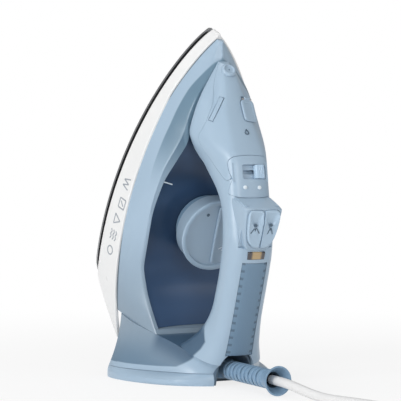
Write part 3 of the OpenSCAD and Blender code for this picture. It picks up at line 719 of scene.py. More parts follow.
def key_outline(side, gap=0.0):
    plan = [(98.4, 0.2), (96.7, 1.2), (96.5, 6), (96.5, 10.6), (98, 12.5), (102, 13), (113, 12), (120.5, 10.2),
            (124.6, 7), (126, 3.4), (126, 1.4), (124.8, 0.2)]
    return [(s, side * y) for s, y in soften(inset(plan, -gap), 1)]


def pegs(name, spots, radius, low, high, to=place, sides=20):
    """Joined round pegs standing at (s, y) spots."""
    parts = []
    for s, y in spots:
        start, up = to(s, y, low), to(s, y, high) - to(s, y, low)
        parts.append(lathe(name, [(radius, 0), (radius, up.length / MM)], start, up, sides))
    return join(name, *parts) if len(parts) > 1 else parts[0]


# ---- pieces: cord ----------------------------------------------------------

LEAD_IN = [(94, 0, 11.5), (104, 0, 11.5), (116, 1, 11), (128, 3.5, 8.5), (140, 8, 5.4), (152, 12, 3.8),
           (165, 17, 3.6), (180, 22, 3.6), (198, 26.3, 3.6), (217, 29.2, 3.6), (237, 30.7, 3.6), (256, 31.2, 3.6),
           (272, 31.3, 3.6)]
LEAD_OUT = [(249.4, -12, 10.8), (249.4, -1, 10.8), (249.4, 8, 10.8), (249.4, 16, 10.8), (249.7, 25, 10.9),
            (251.5, 33, 10.9), (256.7, 41.9, 10.9), (264.9, 48.8, 11.4), (275, 52.5, 12.1), (283, 53, 12.5),
            (288.5, 53, 12.5)]
COIL_AT = (295, -21.5)
COIL_TURN = 2430
COIL_STEP = 15
COIL_R = Profile([(-1, 52.8), (285, 52.8), (345, 45.6), (645, 45.6), (705, 38.4), (1005, 38.4), (1065, 31.2),
                  (1725, 31.2), (1785, 38.4), (2085, 38.4), (2145, 45.6), (2431, 45.6)])
COIL_Z = Profile([(-1, 3.6), (1245, 3.6), (1325, 10.8), (2431, 10.8)])
PLUG_AT = Vector((0.283, 0.053, 0.0125))


def cord_route():
    """Control points from the sleeve's mouth, through the coil's two layers, to the plug."""
    coil = []
    for turn in range(0, COIL_TURN + 1, COIL_STEP):
        r, a = COIL_R(turn), math.radians(90 - turn)
        coil.append((COIL_AT[0] + r * math.cos(a), COIL_AT[1] + r * math.sin(a), COIL_Z(turn)))
    return [tuple(v * MM for v in p) for p in LEAD_IN + coil + LEAD_OUT]


def route_length(points):
    return sum((Vector(b) - Vector(a)).length for a, b in zip(points, points[1:]))


def make_cord():
    sizes = bpy.context.scene.iron_sizes
    points = cord_route()
    data = bpy.data.curves.new("mains_cord", "CURVE")
    data.dimensions = "3D"
    data.bevel_depth = sizes.cord_radius
    data.bevel_resolution = sizes.cord_roundness
    data.use_fill_caps = True
    data.resolution_u = 4
    line = data.splines.new("NURBS")
    line.points.add(len(points) - 1)
    for p, q in zip(line.points, points):
        p.co = (*q, 1.0)
    line.order_u = 4
    line.use_endpoint_u = True
    obj = put("mains_cord", data)
    data.materials.append(FINISH["cord"])
    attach(obj, "cord_lead")
    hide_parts("cord", "cord_coil")
    return obj, route_length(points)


def make_sleeve():
    """Ribbed sleeve: closed rings joined by half webs that change sides, and a bell mouth."""
    def radius(x, sine):
        if x >= BELL_AT:
            return 6.75 + 4.25 * ((x - BELL_AT) / (SLEEVE_LEN - BELL_AT)) ** 1.5
        if x < RIB_AT:
            return 6.6
        gap, into = divmod(x - RIB_AT, RIB_STEP)
        if into <= RIB_W:
            edge = min(into, RIB_W - into)
            return 7.25 - 0.35 * max(0, 1 - edge / 0.5) ** 2
        side = sine * (1 if int(gap) % 2 else -1)
        return 6.3 if side > -0.15 else 4.6

    stops = [0, 4, 8, 11.6]
    for i in range(10):
        a = RIB_AT + RIB_STEP * i
        stops += [a, a + 0.2, a + 0.5, a + 2.1, a + 3.7, a + 4.0, a + RIB_W]
        if i < 9:
            stops += [a + 4.25, a + 5.95]
    stops += [70.5, 72, 74, 76, 78, 80, 82, 84, 85.4, SLEEVE_LEN]

    def ring(x, reach):
        return [Vector((PIVOT_X + x, reach(x, s) * c, EXIT_H + reach(x, s) * s)) * MM for c, s in turns(48)]

    bore = ((SLEEVE_LEN, 9.8), (84, 8.6), (80, 6.4), (75, 4.4), (73, 3.85), (40, 3.85), (9, 3.85))
    rings = [ring(x, radius) for x in stops] + [ring(x, lambda x, s, r=r: r) for x, r in bore]
    tube = loft("cord_sleeve_ribbed", rings)
    pivot = Vector((PIVOT_X, 0, EXIT_H)) * MM
    hub = lathe("hub", [(6.8, -7), (7.8, -6.6), (8, -6), (8, 6), (7.8, 6.6), (6.8, 7)], pivot, (0, 0, 1), 40)
    cut(hub, lathe("bore", [(3.06, 3.8), (3.06, 9)], pivot, (0, 0, 1), 24))
    sleeve = join("cord_sleeve_ribbed", tube, hub)
    return settle(smooth(sleeve, 34), "cord_lead", "sleeve_rubber", "sleeve", "cord_sleeve")


def make_plug():
    axis = (1, 0, 0)
    profile = [(3.75, 7), (3.75, 0), (5.0, 0), (5.5, 0.6)]
    for i in range(4):
        a = 1.5 + 3.1 * i
        r = 5.7 + 0.11 * a
        profile += [(r + out, a + on) for out, on in
                    ((0, 0), (0.35, 0.4), (0.35, 1.6), (0, 2.0), (-0.9, 2.1), (-0.9, 3.0))]
    profile += [(7, 14), (8, 14.6), (9.4, 18), (11.2, 22), (12.1, 25), (12.2, 27)]
    for i in range(4):
        a = 28 + 2.6 * i
        profile += [(12.2, a), (11.6, a + 0.4), (11.6, a + 1.2), (12.2, a + 1.6)]
    profile += [(12.2, 40.6), (11.6, 41.6), (10.8, 42), (0, 42)]
    body = lathe("plug_moulded", profile, PLUG_AT, axis, 48, caps=False)
    body = join("plug_moulded", body, lathe("seal", [(0, 7), (3.75, 7)], PLUG_AT, axis, 48, caps=False))
    face_out(body)
    settle(smooth(body, 40), "cord_lead", "plug_plastic", "plug", "plug_body")
    pins = []
    for side in (-1, 1):
        at = PLUG_AT + Vector((0.042, side * 0.0076, 0))
        pins.append(lathe("pin", [(0, 0), (2.4, 0), (2.4, 16.5), (2.2, 17.8), (1.6, 18.7), (0.8, 19), (0, 19)],
                          at, axis, 28, caps=False))
    pins = settle(smooth(join("plug_contact_pins", *pins), 50), "cord_lead", "pin_metal", "nickel", "plug_pins")
    return body, pins


def make_tie():
    def loop(x, grow):
        low, high = 0.9 - min(grow, 0.7), 14.3 + 0.8 * grow
        corners = [(-58 - grow, low), (-27.5 + grow, low), (-27 + grow, 13), (-32 + grow, high), (-54, high),
                   (-58 - grow, 12)]
        return [Vector((COIL_AT[0] + x, COIL_AT[1] + y, z)) * MM for y, z in soften(corners, 2)]
    rings = [loop(-4, 1.2), loop(-3.4, 1.3), loop(3.4, 1.3), loop(4, 1.2), loop(4, 0.2), loop(-4, 0.2)]
    tie = loft("coil_band", rings, loop=True)
    return settle(smooth(tie, 50), "cord_lead", "tie_plastic", "tie", "coil_tie")


# ---- pieces: sole, skirt and body ------------------------------------------


def sole_edge(gap, count=60):
    edge = [
        (s, max(0.6, skirt_w(s) * end_round(min(s + gap, SOLE_LEN)) - gap))
        for s in spread(1.3 * gap, SOLE_LEN - gap, count)
    ]
    return edge + [(s, -y) for s, y in reversed(edge)]


def make_soleplate():
    levels = ((1.5, 0), (1.0, 0.25), (0.8, 0.7), (0.8, 2.5))
    sole = loft("soleplate_polished", [[place(s, y, h) for s, y in sole_edge(gap)] for gap, h in levels])
    outer = [(34 + 15 * i, side * 0.6 * skirt_w(34 + 15 * i)) for i in range(9) for side in (-1, 1)]
    cut(sole, pegs("vents", outer + [(22 + 9 * i, 0) for i in range(5)], 2.0, -1, 4))
    dishes = [lathe("dish", [(3.4, -0.4), (2.2, 0.45)], place(s, y, 0), heading(0, 0, 1), 20) for s, y in outer]
    cut(sole, join("dishes", *dishes))
    return settle(smooth(sole, 30), "root", "sole", "sole", "soleplate")


def skirt_low(s):
    rise = (seam_h(SKIRT_END) - 1.2 - GAP_H) / (SKIRT_END - SKIRT_CUT)
    return GAP_H if s <= SKIRT_CUT else GAP_H + rise * (s - SKIRT_CUT)


def make_skirt():
    def ring(level, gap):
        edge = []
        for u in spread(0, 1, 90):
            s = 2 * gap + u * (SKIRT_END - 3 * gap)
            h = skirt_low(s) + level * (seam_h(s) - skirt_low(s))
            edge.append((s, max(0.6 + 0.02 * s, skirt_w(s) - gap - DRAFT * (h - GAP_H)), h))
        return [place(*p) for p in edge] + [place(s, -y, h) for s, y, h in reversed(edge)]
    levels = [(0, 0.5), (0.02, 0.15), (0.05, 0)] + [(v, 0) for v in steps(0.15, 0.9, 6)]
    levels += [(0.96, 0.0), (0.985, 0.12), (1.0, 0.4), (1.0, WALL), (0.5, WALL), (0, WALL)]
    skirt = loft("skirt_moulded", [ring(*v) for v in levels], loop=True)
    return settle(smooth(skirt, 40), "root", "white_plastic", "skirt", "skirt")


BODY_STATIONS = steps(4.2, BULKHEAD, 100)


def body_y(s, level):
    a, b = body_w(s), rim_y(s)
    return a - level * (a - b) + 0.15 * (a - b) * math.sin(math.pi * level)


def make_body():
    def ring(level, gap, inner=False):
        edge = []
        for q in BODY_STATIONS:
            s = 24 + (q - 7) * (BULKHEAD - WALL - 24) / (BULKHEAD - 7) if inner else q
            y = body_y(q, level) - gap
            if not inner and q < 20:
                y *= 1 - max(0.0, level - 0.8) / 0.2 * min(1, (20 - q) / 3) * 0.97
            edge.append((s, y, seam_h(s) + level * (rim_at(s) - seam_h(s))))
        return [place(*p) for p in edge] + [place(s, -y, h) for s, y, h in reversed(edge)]
    rings = [ring(0, 0.3), ring(0.01, 0)] + [ring(v, 0) for v in steps(0.06, 0.96, 14)]
    rings += [ring(0.985, 0.08), ring(1.0, 0.35), ring(1.0, WALL, True), ring(0.96, WALL, True),
              ring(0.45, WALL, True), ring(0, WALL, True)]
    body = loft("body_shell_moulded", rings, loop=True)
    return settle(smooth(body, 36), "root", "light_plastic", "body", "body_shell")


def make_tank_top():
    rings = []
    for s in steps(66, 219, 60):
        w, h = rim_y(s) - WALL - 0.3, rim_at(s) - 1.5
        half = [(0, h - 5.9), (0.6 * w, h - 5.2), (w, h - 2.4), (w, h - 0.4), (w - 0.5, h)]
        half += [(w * k, h - 3.5 + 3.5 * k**2.4) for k in (0.92, 0.84, 0.74, 0.62, 0.48, 0.32, 0.16)]
        half += [(0, h - 3.5)]
        rings.append([place(s, y, z) for y, z in mirrored(half)])
    top = loft("tank_top_tinted", rings)
    cut(top, pegs("shaft_ways", [(145, 0)], 5, 28, 68))
    settle(smooth(top, 40), "root", "tank_plastic", "tank", "tank_top")
    line = []
    for s, y in ((109.4, -41.6), (110.4, -38.6), (111.4, -35.6), (112.4, -32.6)):
        at, normal = on_surface(top, place(s, y, 90), heading(0, 0, -1))
        line.append([at + heading(d, 0, 0) * MM + normal * lift * MM
                     for d, lift in ((-0.5, -0.3), (-0.5, 0.12), (0.5, 0.12), (0.5, -0.3))])
    settle(loft("fill_line", line), "root", "pale_plastic", "ink_pale")


# ---- pieces: hood, handle and panel ----------------------------------------


def slab(length, width, grow=0.0, corner=3.0, per=6):
    """Rounded rectangle about the origin."""
    pts = []
    for i, (sx, sy) in enumerate(((1, 1), (-1, 1), (-1, -1), (1, -1))):
        for k in range(per + 1):
            a = math.radians(90 * i + 90 * k / per)
            pts.append((sx * (length / 2 - corner) + (corner + grow) * math.cos(a),
                        sy * (width / 2 - corner) + (corner + grow) * math.sin(a)))
    return pts


INLAY_ROOM = (-10.4, -2.1, -1.2), (10.4, 2.1, 4)
ARCH_R, ARCH_SPRING, ARCH_GAP = 13, 12.5, 1.6
GRIP_DEPTH = 1.1
LAMP_H = 128
DIAL_S = 145


def make_hood(form):
    hood = copy_of(form, "front_hood_moulded")
    cut(hood, prism("view", inset(HOOD_LINE, 0.22)), "INTERSECT")
    cut(hood, column("pocket", slab(19, 13), 0.1, 14, FILLER))
    cut(hood, lathe("way", [(4.9, -12), (4.9, 3)], *upward(FILLER), 32))
    cut(hood, block("hinge_room", (-11.7, -5, -0.6), (-7.5, 5, 12), FILLER))
    cut(hood, block("inlay_room", *INLAY_ROOM, INLAY))
    cut(hood, lathe("nozzle_room", [(3.1, -12), (3.1, -1), (6.1, -1), (6.1, 18)], *upward(NOZZLE), 40))
    return settle(smooth(hood, 30), "root", "light_plastic", "shell", "front_hood")


def make_nozzle():
    rings = [(3, -8), (3, -0.9), (5.9, -0.9), (5.9, -0.3), (5.6, 0.5), (5.1, 1.3), (4.6, 1.7), (4.1, 1.7),
             (3.7, 1.1), (2.4, 0.7), (1.2, 0.9), (0.7, 0.9), (0.7, -8)]
    nozzle = lathe("spray_tip", rings, *upward(NOZZLE), 40, caps=False)
    nozzle = join("spray_tip", nozzle, lathe("end", [(0.7, -8), (3, -8)], *upward(NOZZLE), 40, caps=False))
    face_out(nozzle)
    return settle(smooth(nozzle, 40), "root", "mid_plastic", "shell", "spray_nozzle")


def make_cap():
    rings = [[FILLER(x, y, z) for x, y in slab(18, 12, g)]
             for g, z in ((-0.3, 0.5), (0, 0.8), (0, 1.75), (-0.25, 2.15), (-0.8, 2.3), (-2.2, 2.3), (-2.5, 2.05))]
    cap = loft("filler_door", rings)
    hinge = FILLER(-9.5, 0, 1.4), FILLER(0, 1, 0) - FILLER(0, 0, 0)
    cut(cap, lathe("knuckle", [(1.2, -2.5), (1.6, -2.1), (1.6, 2.1), (1.2, 2.5)], *hinge, 28), "UNION")
    cut(cap, lathe("hole", [(0.96, -4), (0.96, 4)], *hinge, 24))
    for side in (-1, 1):
        cut(cap, block("ear_room", (-11.5, side * 4.5 - 2, -1), (-8.3, side * 4.5 + 2, 4), FILLER))
    return settle(smooth(cap, 35), "cap", "light_plastic", "shell", "filler_cap")


def make_inlay():
    bar = block("hood_strip", (-10, -1.7, -1.1), (10, 1.7, 0.7), INLAY)
    bevel(bar, 0.5, 3)
    return settle(smooth(bar, 50), "root", "mid_plastic", "shell", "side_inlay")


def arch():
    """Room for the cord's sleeve to swing, under a round arch."""
    r = ARCH_R + ARCH_GAP
    points = [(r, -1)] + [(r * math.cos(math.radians(6 * i)), ARCH_SPRING + r * math.sin(math.radians(6 * i)))
                          for i in range(31)] + [(-r, -1)]
    ends = PIVOT_X - 10 - ARCH_GAP, PIVOT_X + 60
    return loft("arch_room", [[Vector((x, y, z)) * MM for y, z in points] for x in ends])


def grip_section(s, low, high, gap=0.0):
    h, w = top_h(s), 10.5 + 0.25 * (top_w(s) - 18) - gap
    half = [(0, h - low), (0.5 * w, h - low - 0.2), (w, h - low - 1.4), (w, h + high - 2.0),
            (w - 0.35, h + high - 1.5), (0.84 * w, h + high - 0.9), (0.5 * w, h + high - 0.3),
            (0.25 * w, h + high - 0.07), (0, h + high)]
    return [place(s, y, z) for y, z in mirrored(half)]


def make_handle(form):
    handle = copy_of(form, "handle_moulded")
    cut(handle, prism("front", FRONT_LINE))
    cut(handle, block("inlay_room", *INLAY_ROOM, INLAY))
    cut(handle, block("well_room", (95, -13.9, 110), (128, 13.9, 150)))
    cut(handle, loft("grip_room", [grip_section(s, GRIP_DEPTH, 5) for s in steps(138.7, 214.3, 24)]))
    cut(handle, column("lamp_room", [(130, -7.1), (136, -7.1), (136, 7.1), (130, 7.1)], 126, 150))
    cut(handle, arch())
    return settle(smooth(handle, 30), "root", "light_plastic", "handle", "handle_shell")


def make_panel(form):
    panel = copy_of(form, "slider_panel_moulded")
    cut(panel, prism("view", inset(PANEL_LINE, 0.2)), "INTERSECT")
    floor = block("slot_floor", (-7, -14.5, -7.6), (7, 14.5, -2.6), SLOT)
    cut(panel, floor, "UNION")
    cut(panel, column("slot", [(x, y + 2.5) for x, y in slab(11, 20, 0, 1.6)], -3, 12, SLOT))
    cut(panel, column("way", [(x, y + 2.5) for x, y in slab(3.2, 16.8, 0, 1.2)], -6.6, 6, SLOT))
    return settle(smooth(panel, 30), "root", "light_plastic", "shell", "slider_panel")


def make_slider():
    """Knob of the steam slider, ribbed across, on its stem."""
    profile = [(-3.8, -2.7), (-3.8, 0.3), (-3.3, 1.0)]
    for i in range(4):
        y = -2.7 + 1.45 * i
        profile += [(y, 1.3), (y + 0.35, 0.85), (y + 0.7, 1.3)]
    profile += [(3.3, 1.0), (3.8, 0.3), (3.8, -2.7)]
    rings = [[SLOT(x, 6.6 + y * k, z if z < 0 else z * k) for y, z in profile]
             for x, k in ((-5.1, 0.9), (-4.8, 1.0), (4.8, 1.0), (5.1, 0.9))]
    knob = loft("steam_knob", rings)
    stem = block("stem", (-1.3, 4.6, -6.3), (1.3, 8.6, -2.2), SLOT)
    knob = join("steam_knob", knob, stem)
    return settle(smooth(knob, 40), "slider", "pale_plastic", "pale", "steam_slider")


# ---- pieces: buttons, lamp, grip and dial -----------------------------------


def block_outline(front, rear, lead):
    """Plan of the button block, wide at its front and narrow at its rear."""
    side = [(95 + lead, front), (99 + lead, front + 0.4), (114, (front + rear) / 2 + 0.9),
            (127 - lead, rear + 0.3), (129.5 - lead, rear - 2.5)]
    other = [(s, -y) for s, y in reversed(side)]
    return soften(other[-1:] + side + other[:-1], 2)


def make_housing():
    rings = []
    for h, front, rear, lead in ((110, 15.8, 11.4, 0), (119, 15.7, 11.3, 0), (126, 15.3, 10.8, 0),
                                 (130, 14.8, 10.2, 0.1), (131.3, 14.5, 9.9, 0.25), (131.9, 14.1, 9.6, 0.6),
                                 (132, 13.8, 9.4, 0.9)):
        rings.append([place(s, y, h) for s, y in block_outline(front, rear, lead)])
    housing = loft("button_block", rings)
    cut(housing, block("base", (95.2, -13.8, 110), (127.8, 13.8, 127.6)), "UNION")
    for side in (-1, 1):
        cut(housing, column("well", key_outline(side, 0.3), 112, 150))
    return settle(smooth(housing, 34), "root", "light_plastic", "shell", "button_housing")


def make_button(name, side, body, node):
    plan = key_outline(side)
    mid_s, mid_y = 111.0, side * 6.2

    def ring(h, k, drop=0.0):
        pts = []
        for s, y in plan:
            slope = max(0.0, (101.5 - s)) * 0.42
            dish = 0.5 * max(0.0, 1 - ((s - mid_s) / 12) ** 2) * drop
            pts.append(place(mid_s + (s - mid_s) * k, mid_y + (y - mid_y) * k, h - slope - dish))
        return pts

    rings = [[place(s, y, 116) for s, y in plan], ring(133.7, 1), ring(134.6, 0.985), ring(135.05, 0.95),
             ring(135.2, 0.9), ring(135.15, 0.8, 0.4), ring(135.05, 0.6, 0.7), ring(135.0, 0.35, 0.9),
             ring(135.0, 0.1, 1)]
    button = loft(name, rings)
    piston = lathe("piston", [(3.5, 0), (3.5, 9.6)], place(110, side * 7, 107.5), heading(0, 0, 1), 28)
    button = join(name, button, piston)
    return settle(smooth(button, 34), body, "mid_plastic", "seat", node)


def make_marks():
    """Raised generic signs: a jet on each button, two dots by the slider and a droplet on the hood."""
    for side, body, spread_by in ((-1, "burst", 1.0), (1, "spray", 0.55)):
        rays, mid_y = [], side * 6.3
        for angle in (-34, 0, 34):
            a = math.radians(angle * spread_by)
            c, s = math.cos(a), math.sin(a)
            corners = [(108.5 + c * along - s * across, mid_y + s * along + c * across)
                       for along, across in ((1.5, -0.3), (6.5, -0.42), (6.5, 0.42), (1.5, 0.3))]
            rays.append(column("ray", corners, 134.2, 134.86 if angle else 134.9))
        base = place(107.6, mid_y, 134.2)
        dot = lathe("dot", [(1.1, -0.3), (1.1, 0.42), (0.9, 0.55)], base, heading(0, 0, 1), 20)
        sign = join("jet_sign_" + body, dot, *rays)
        settle(smooth(sign, 40), body, "pale_plastic", "ink_deep")
    dots = []
    for s, y in ((88.1, -6.3), (88.3, 5.6)):
        to = local((s, y, top_h(s)), (0, -28, 0))
        dots.append(lathe("dot", [(1.5, -1.0), (1.5, 0.12), (1.2, 0.28), (0, 0.3)], *upward(to), 24, caps=False))
    settle(smooth(join("slider_dots", *dots), 40), "root", "pale_plastic", "ink_pale")
    to = local((55.4, 2.6, top_h(55.4)), (0, -46, 0))
    edge = [(-1.0, 0.9), (0.6, 1.9), (1.9, 1.7), (2.6, 0.7)]
    drop = [(-2.6, 0)] + edge + [(x, -y) for x, y in reversed(edge)]
    rings = [[to(x * k, y * k, z) for x, y in soften(drop, 1)]
             for z, k in ((-1.5, 1), (0.35, 1), (0.5, 0.92), (0.5, 0.62), (-0.3, 0.6))]
    settle(smooth(loft("drop_sign", rings), 40), "root", "mid_plastic", "ink_deep")


def on_surface(target, origin, direction):
    """Point and normal where a ray in the row frame meets a mesh."""
    hit, at, normal, _ = target.ray_cast(origin, direction)
    if not hit:
        raise RuntimeError("a mark misses its surface")
    return at, normal


SIGN_SCALE = 1.45


def make_skirt_signs(skirt):
    """Five generic fabric signs printed on the left of the skirt, as thin raised shapes."""
    strokes = []

    def bar(at, normal, along, points, w=0.36):
        up = normal.cross(along).normalized()
        for (x0, y0), (x1, y1) in zip(points, points[1:]):
            d = Vector((x1 - x0, y1 - y0)).normalized()
            n = Vector((-d.y, d.x)) * w
            quad = [(x0 + n.x, y0 + n.y), (x1 + n.x, y1 + n.y), (x1 - n.x, y1 - n.y), (x0 - n.x, y0 - n.y)]
            strokes.append(loft("stroke", [
                [at + SIGN_SCALE * MM * (x * along + y * up) + normal * lift * MM for x, y in quad]
                for lift in (-0.5, 0.09)]))

    signs = [
        [[(-3, 2.6), (-1.5, -2.6), (0, 2.0), (1.5, -2.6), (3, 2.6)]],
        [[(-2.6, -2.6), (-2.6, 2.6), (2.6, 2.6), (2.6, -2.6), (-2.6, -2.6)], [(-1.2, -1.4), (1.2, 1.4)]],
        [[(-2.8, -2.4), (0, 2.8), (2.8, -2.4), (-2.8, -2.4)]],
        [[(-2.8, y), (-1.4, y + 1), (0, y), (1.4, y + 1), (2.8, y)] for y in (1.6, -0.6, -2.8)],
        [[(2.4 * c, 2.4 * s) for c, s in turns(12) + turns(12)[:1]]],
    ]
    spots = ((122.3, 18.6), (138.2, 21.1), (151.8, 20.5), (164.7, 20.6), (177.7, 20.0))
    for (s, h), sign in zip(spots, signs):
        at, normal = on_surface(skirt, place(s, -90, h), Vector((0, 1, 0)))
        along = (heading(1, 0, 0) - normal * heading(1, 0, 0).dot(normal)).normalized()
        for line in sign:
            bar(at, normal, along, line)
    marks = join("skirt_signs", *strokes)
    return settle(marks, "root", "mid_plastic", "ink")


def make_lens():
    lens = block("indicator_lens", (130.05, -7, LAMP_H), (135.95, 7, 133.1))
    bevel(lens, 0.7, 3)
    return settle(smooth(lens, 50), "root", "amber", "lens", "lamp_lens")


def make_grip():
    first, last = 139, 214
    stations = [first, 139.4, 140, 141, 142.5] + steps(145, 209, 32) + [211, 212.5, 213.3, 213.8, last]

    def crown(s):
        return 0.25 - 0.5 * max(0, 1 - (s - first) / 1.5, 1 - (last - s) / 1.5) ** 2

    grip = loft("grip_pad", [grip_section(s, GRIP_DEPTH, crown(s), 0.15) for s in stations])
    return settle(smooth(grip, 30), "root", "grip_plastic", "grip", "rear_grip")


def make_dial():
    at, up = place(DIAL_S, 0, 54), heading(0, 0, 1)
    profile = [(3.05, 12), (3.05, 0), (24.4, 0), (25.4, 0.25), (27.2, 0.8), (27.6, 1.4), (28, 12.6), (28.3, 13.2),
               (28.9, 13.9), (29, 14.3), (29, 15.2), (28.8, 15.7), (28.3, 16), (26.0, 16), (25.5, 15.7),
               (24.9, 13.9), (24.4, 13.6), (12, 13.6), (0, 13.6)]
    disc = lathe("dial_knob", profile, at, up, 112, caps=False)
    roof = lathe("roof", [(0, 12), (3.05, 12)], at, up, 112, caps=False)
    dial = join("dial_knob", disc, roof)
    face_out(dial)
    section = ((-1.1, 67.2), (-0.95, 69.0), (-0.6, 69.4), (0.6, 69.4), (0.95, 69.0), (1.1, 67.2))
    ridge = loft("ridge", [[place(s, y * k, h) for y, h in section]
                           for s, k in ((122, 0.5), (122.6, 0.9), (124, 1), (166, 1), (167.4, 0.9), (168, 0.5))])
    dial = join("dial_knob", dial, ridge)
    settle(smooth(dial, 34), "dial", "light_plastic", "shell", "temperature_dial")
    marks = []
    for angle in (60, 110, 160, 210):
        a = math.radians(angle)
        spot = place(DIAL_S + 19 * math.cos(a), 19 * math.sin(a), 67.4)
        marks.append(lathe("dot", [(1.3, 0), (1.3, 0.3), (1.3 - 0.2, 0.42), (0, 0.42)], spot, up, 20, caps=False))
    settle(smooth(join("dial_dots", *marks), 40), "dial", "mid_plastic", "ink_deep")
    arcs = []
    for r, low, high in ((13.0, 20, 72), (15.2, 28, 64)):
        rings = []
        for a in steps(math.radians(low), math.radians(high), 14):
            rings.append([place(DIAL_S + q * math.cos(a), q * math.sin(a), h)
                          for q, h in ((r - 0.45, 67.3), (r - 0.3, 67.95), (r + 0.3, 67.95), (r + 0.45, 67.3))])
        arcs.append(loft("arc", rings))
    settle(smooth(join("dial_arcs", *arcs), 40), "dial", "pale_plastic", "ink_pale")


# ---- pieces: heel ------------------------------------------------------------

FOOT_X = [-60.8, -60, -52, -38, -18, 0, 14, 25, 32.5, 37, 38.5]
FOOT_Y = [0, 60, 62.5, 63, 59.5, 53, 44.6, 33.6, 21.5, 9.8, 0]
BASE_X = [-60.6, -60, -51, -37, -20, -2, 11, 22, 31, 36, 38]
BASE_Y = [0, 59, 61.3, 61, 54.5, 45, 37, 29, 20, 10.5, 0]


def make_heel():
    back = [(0, seam_h(BULKHEAD) - 0.6), (body_w(BULKHEAD), seam_h(BULKHEAD)), (54.4, 54.8), (49, 67),
            (42.5, 80), (37, 90), (33, 100), (28.9, 114), (24, 128), (17.8, 134.1), (0, 136)]
    start = soften(mirrored(back), 2)
    finish = soften(mirrored(list(zip(BASE_Y, BASE_X))), 2)
    rings = []
    for t in steps(0, 1, 18):
        ring = []
        for (y0, h0), (y1, x1) in zip(start, finish):
            p = place(222.08, y0, h0).lerp(floor_frame(x1, y1, FOOT_T + 0.25), t)
            side = 1 if y0 > 0 else -1
            pinch = 8 * t * (1 - t) * min(1, abs(p.y) / MM / 12) * MM
            ring.append(Vector((p.x, p.y - side * pinch, p.z)))
        rings.append(ring)
    shell = loft("rear_shell_moulded", rings)
    cut(shell, arch())
    settle(smooth(shell, 34), "root", "light_plastic", "rear", "rear_shell")

    rings = []
    for z, k in ((9, 0.97), (8.6, 0.8), (7.2, 0.42), (5.6, 0.12), (4.5, 0), (2.4, 0), (1, 0),
                 (0.4, 0.04), (0, 0.12)):
        half = [(y0 + k * (y1 - y0), x0 + k * (x1 - x0)) for x0, y0, x1, y1 in zip(FOOT_X, FOOT_Y, BASE_X, BASE_Y)]
        rings.append([floor_frame(x, y, z) for y, x in soften(mirrored(half), 2)])
    foot = loft("heel_pad", rings)
    cut(foot, arch())
    spots = [(TIP_X - 48, 40), (TIP_X - 48, -40), (TIP_X - 32, 0)]
    to = lambda x, y, z: Vector((x, y, z)) * MM
    cut(foot, pegs("screw_rooms", spots, 3.5, -1, 2.5, to, 28))
    settle(smooth(foot, 34), "root", "light_plastic", "shell", "heel_foot")


# ---- stage -------------------------------------------------------------------

CAMERA_TARGET = Vector((-0.0226, 0.0, 0.13884))
CAMERA_AZIMUTH, CAMERA_HEIGHT, CAMERA_AWAY = math.radians(-27.0), math.radians(2.0), 1.5
CAMERA_LENS = 173.0
CAMERA_SHIFT = 0.004, -0.0025
ROOM_LIGHT = 0.38
LIGHT_AIM = Vector((0, 0, 0.12))
# Name, place, width and power of each lamp
LIGHTS = (
    ("key", (0.7, -2.2, 0.75), 1.1, 28),
    ("fill", (2.2, 1.2, 0.9), 1.0, 4),
    ("front", (2.0, -0.5, 0.7), 0.9, 9),
    ("top", (-0.3, -0.2, 2.3), 1.2, 11),
)


def area_light(name, at, size, power):
    data = bpy.data.lights.new(name, "AREA")
    data.shape, data.size, data.energy = "DISK", size, power
    lamp = put(name, data)
    lamp.location = at
    lamp.rotation_euler = (LIGHT_AIM - Vector(at)).to_track_quat("-Z", "Y").to_euler()


def make_camera():
    data = bpy.data.cameras.new("camera")
    data.lens, data.sensor_width = CAMERA_LENS, 36
    data.clip_start, data.clip_end = 0.05, 60
    data.shift_x, data.shift_y = CAMERA_SHIFT
    cam = put("camera", data)
    away = Vector((
        math.cos(CAMERA_HEIGHT) * math.cos(CAMERA_AZIMUTH),
        math.cos(CAMERA_HEIGHT) * math.sin(CAMERA_AZIMUTH),
        math.sin(CAMERA_HEIGHT),
    )) * CAMERA_AWAY
    cam.location = CAMERA_TARGET + away
    cam.rotation_euler = (-away).to_track_quat("-Z", "Y").to_euler()
    bpy.context.scene.camera = cam


def blend(tree, amount, first, second, surface):
    """Shows the second shader in place of the first by an amount."""
    mix = tree.nodes.new("ShaderNodeMixShader")
    for source, socket in zip((amount, first, second), mix.inputs):
        tree.links.new(source, socket)
    tree.links.new(mix.outputs[0], surface)


def show_white(paint):
    """Lets the camera and mirrors see plain white where the lamps would leave it grey."""
    tree = paint.tree
    path = tree.nodes.new("ShaderNodeLightPath")
    glow = paint.node("ShaderNodeEmission", {"Color": (1, 1, 1, 1), "Strength": 1.0})
    out = next(n for n in tree.nodes if n.type == "OUTPUT_MATERIAL")
    rays = (Wire(paint, path.outputs["Is %s Ray" % kind]) for kind in ("Camera", "Glossy"))
    seen = paint.maths("MAXIMUM", *rays)
    far = paint.node("ShaderNodeVectorMath", {0: paint.here}, operation="LENGTH")
    ring = Wire(paint, far.outputs["Value"]).above(0.15, 0.5)
    amount = seen * (ring * 0.2 + 0.8)
    blend(tree, amount.socket, paint.shader.outputs[0], glow.outputs[0], out.inputs["Surface"])


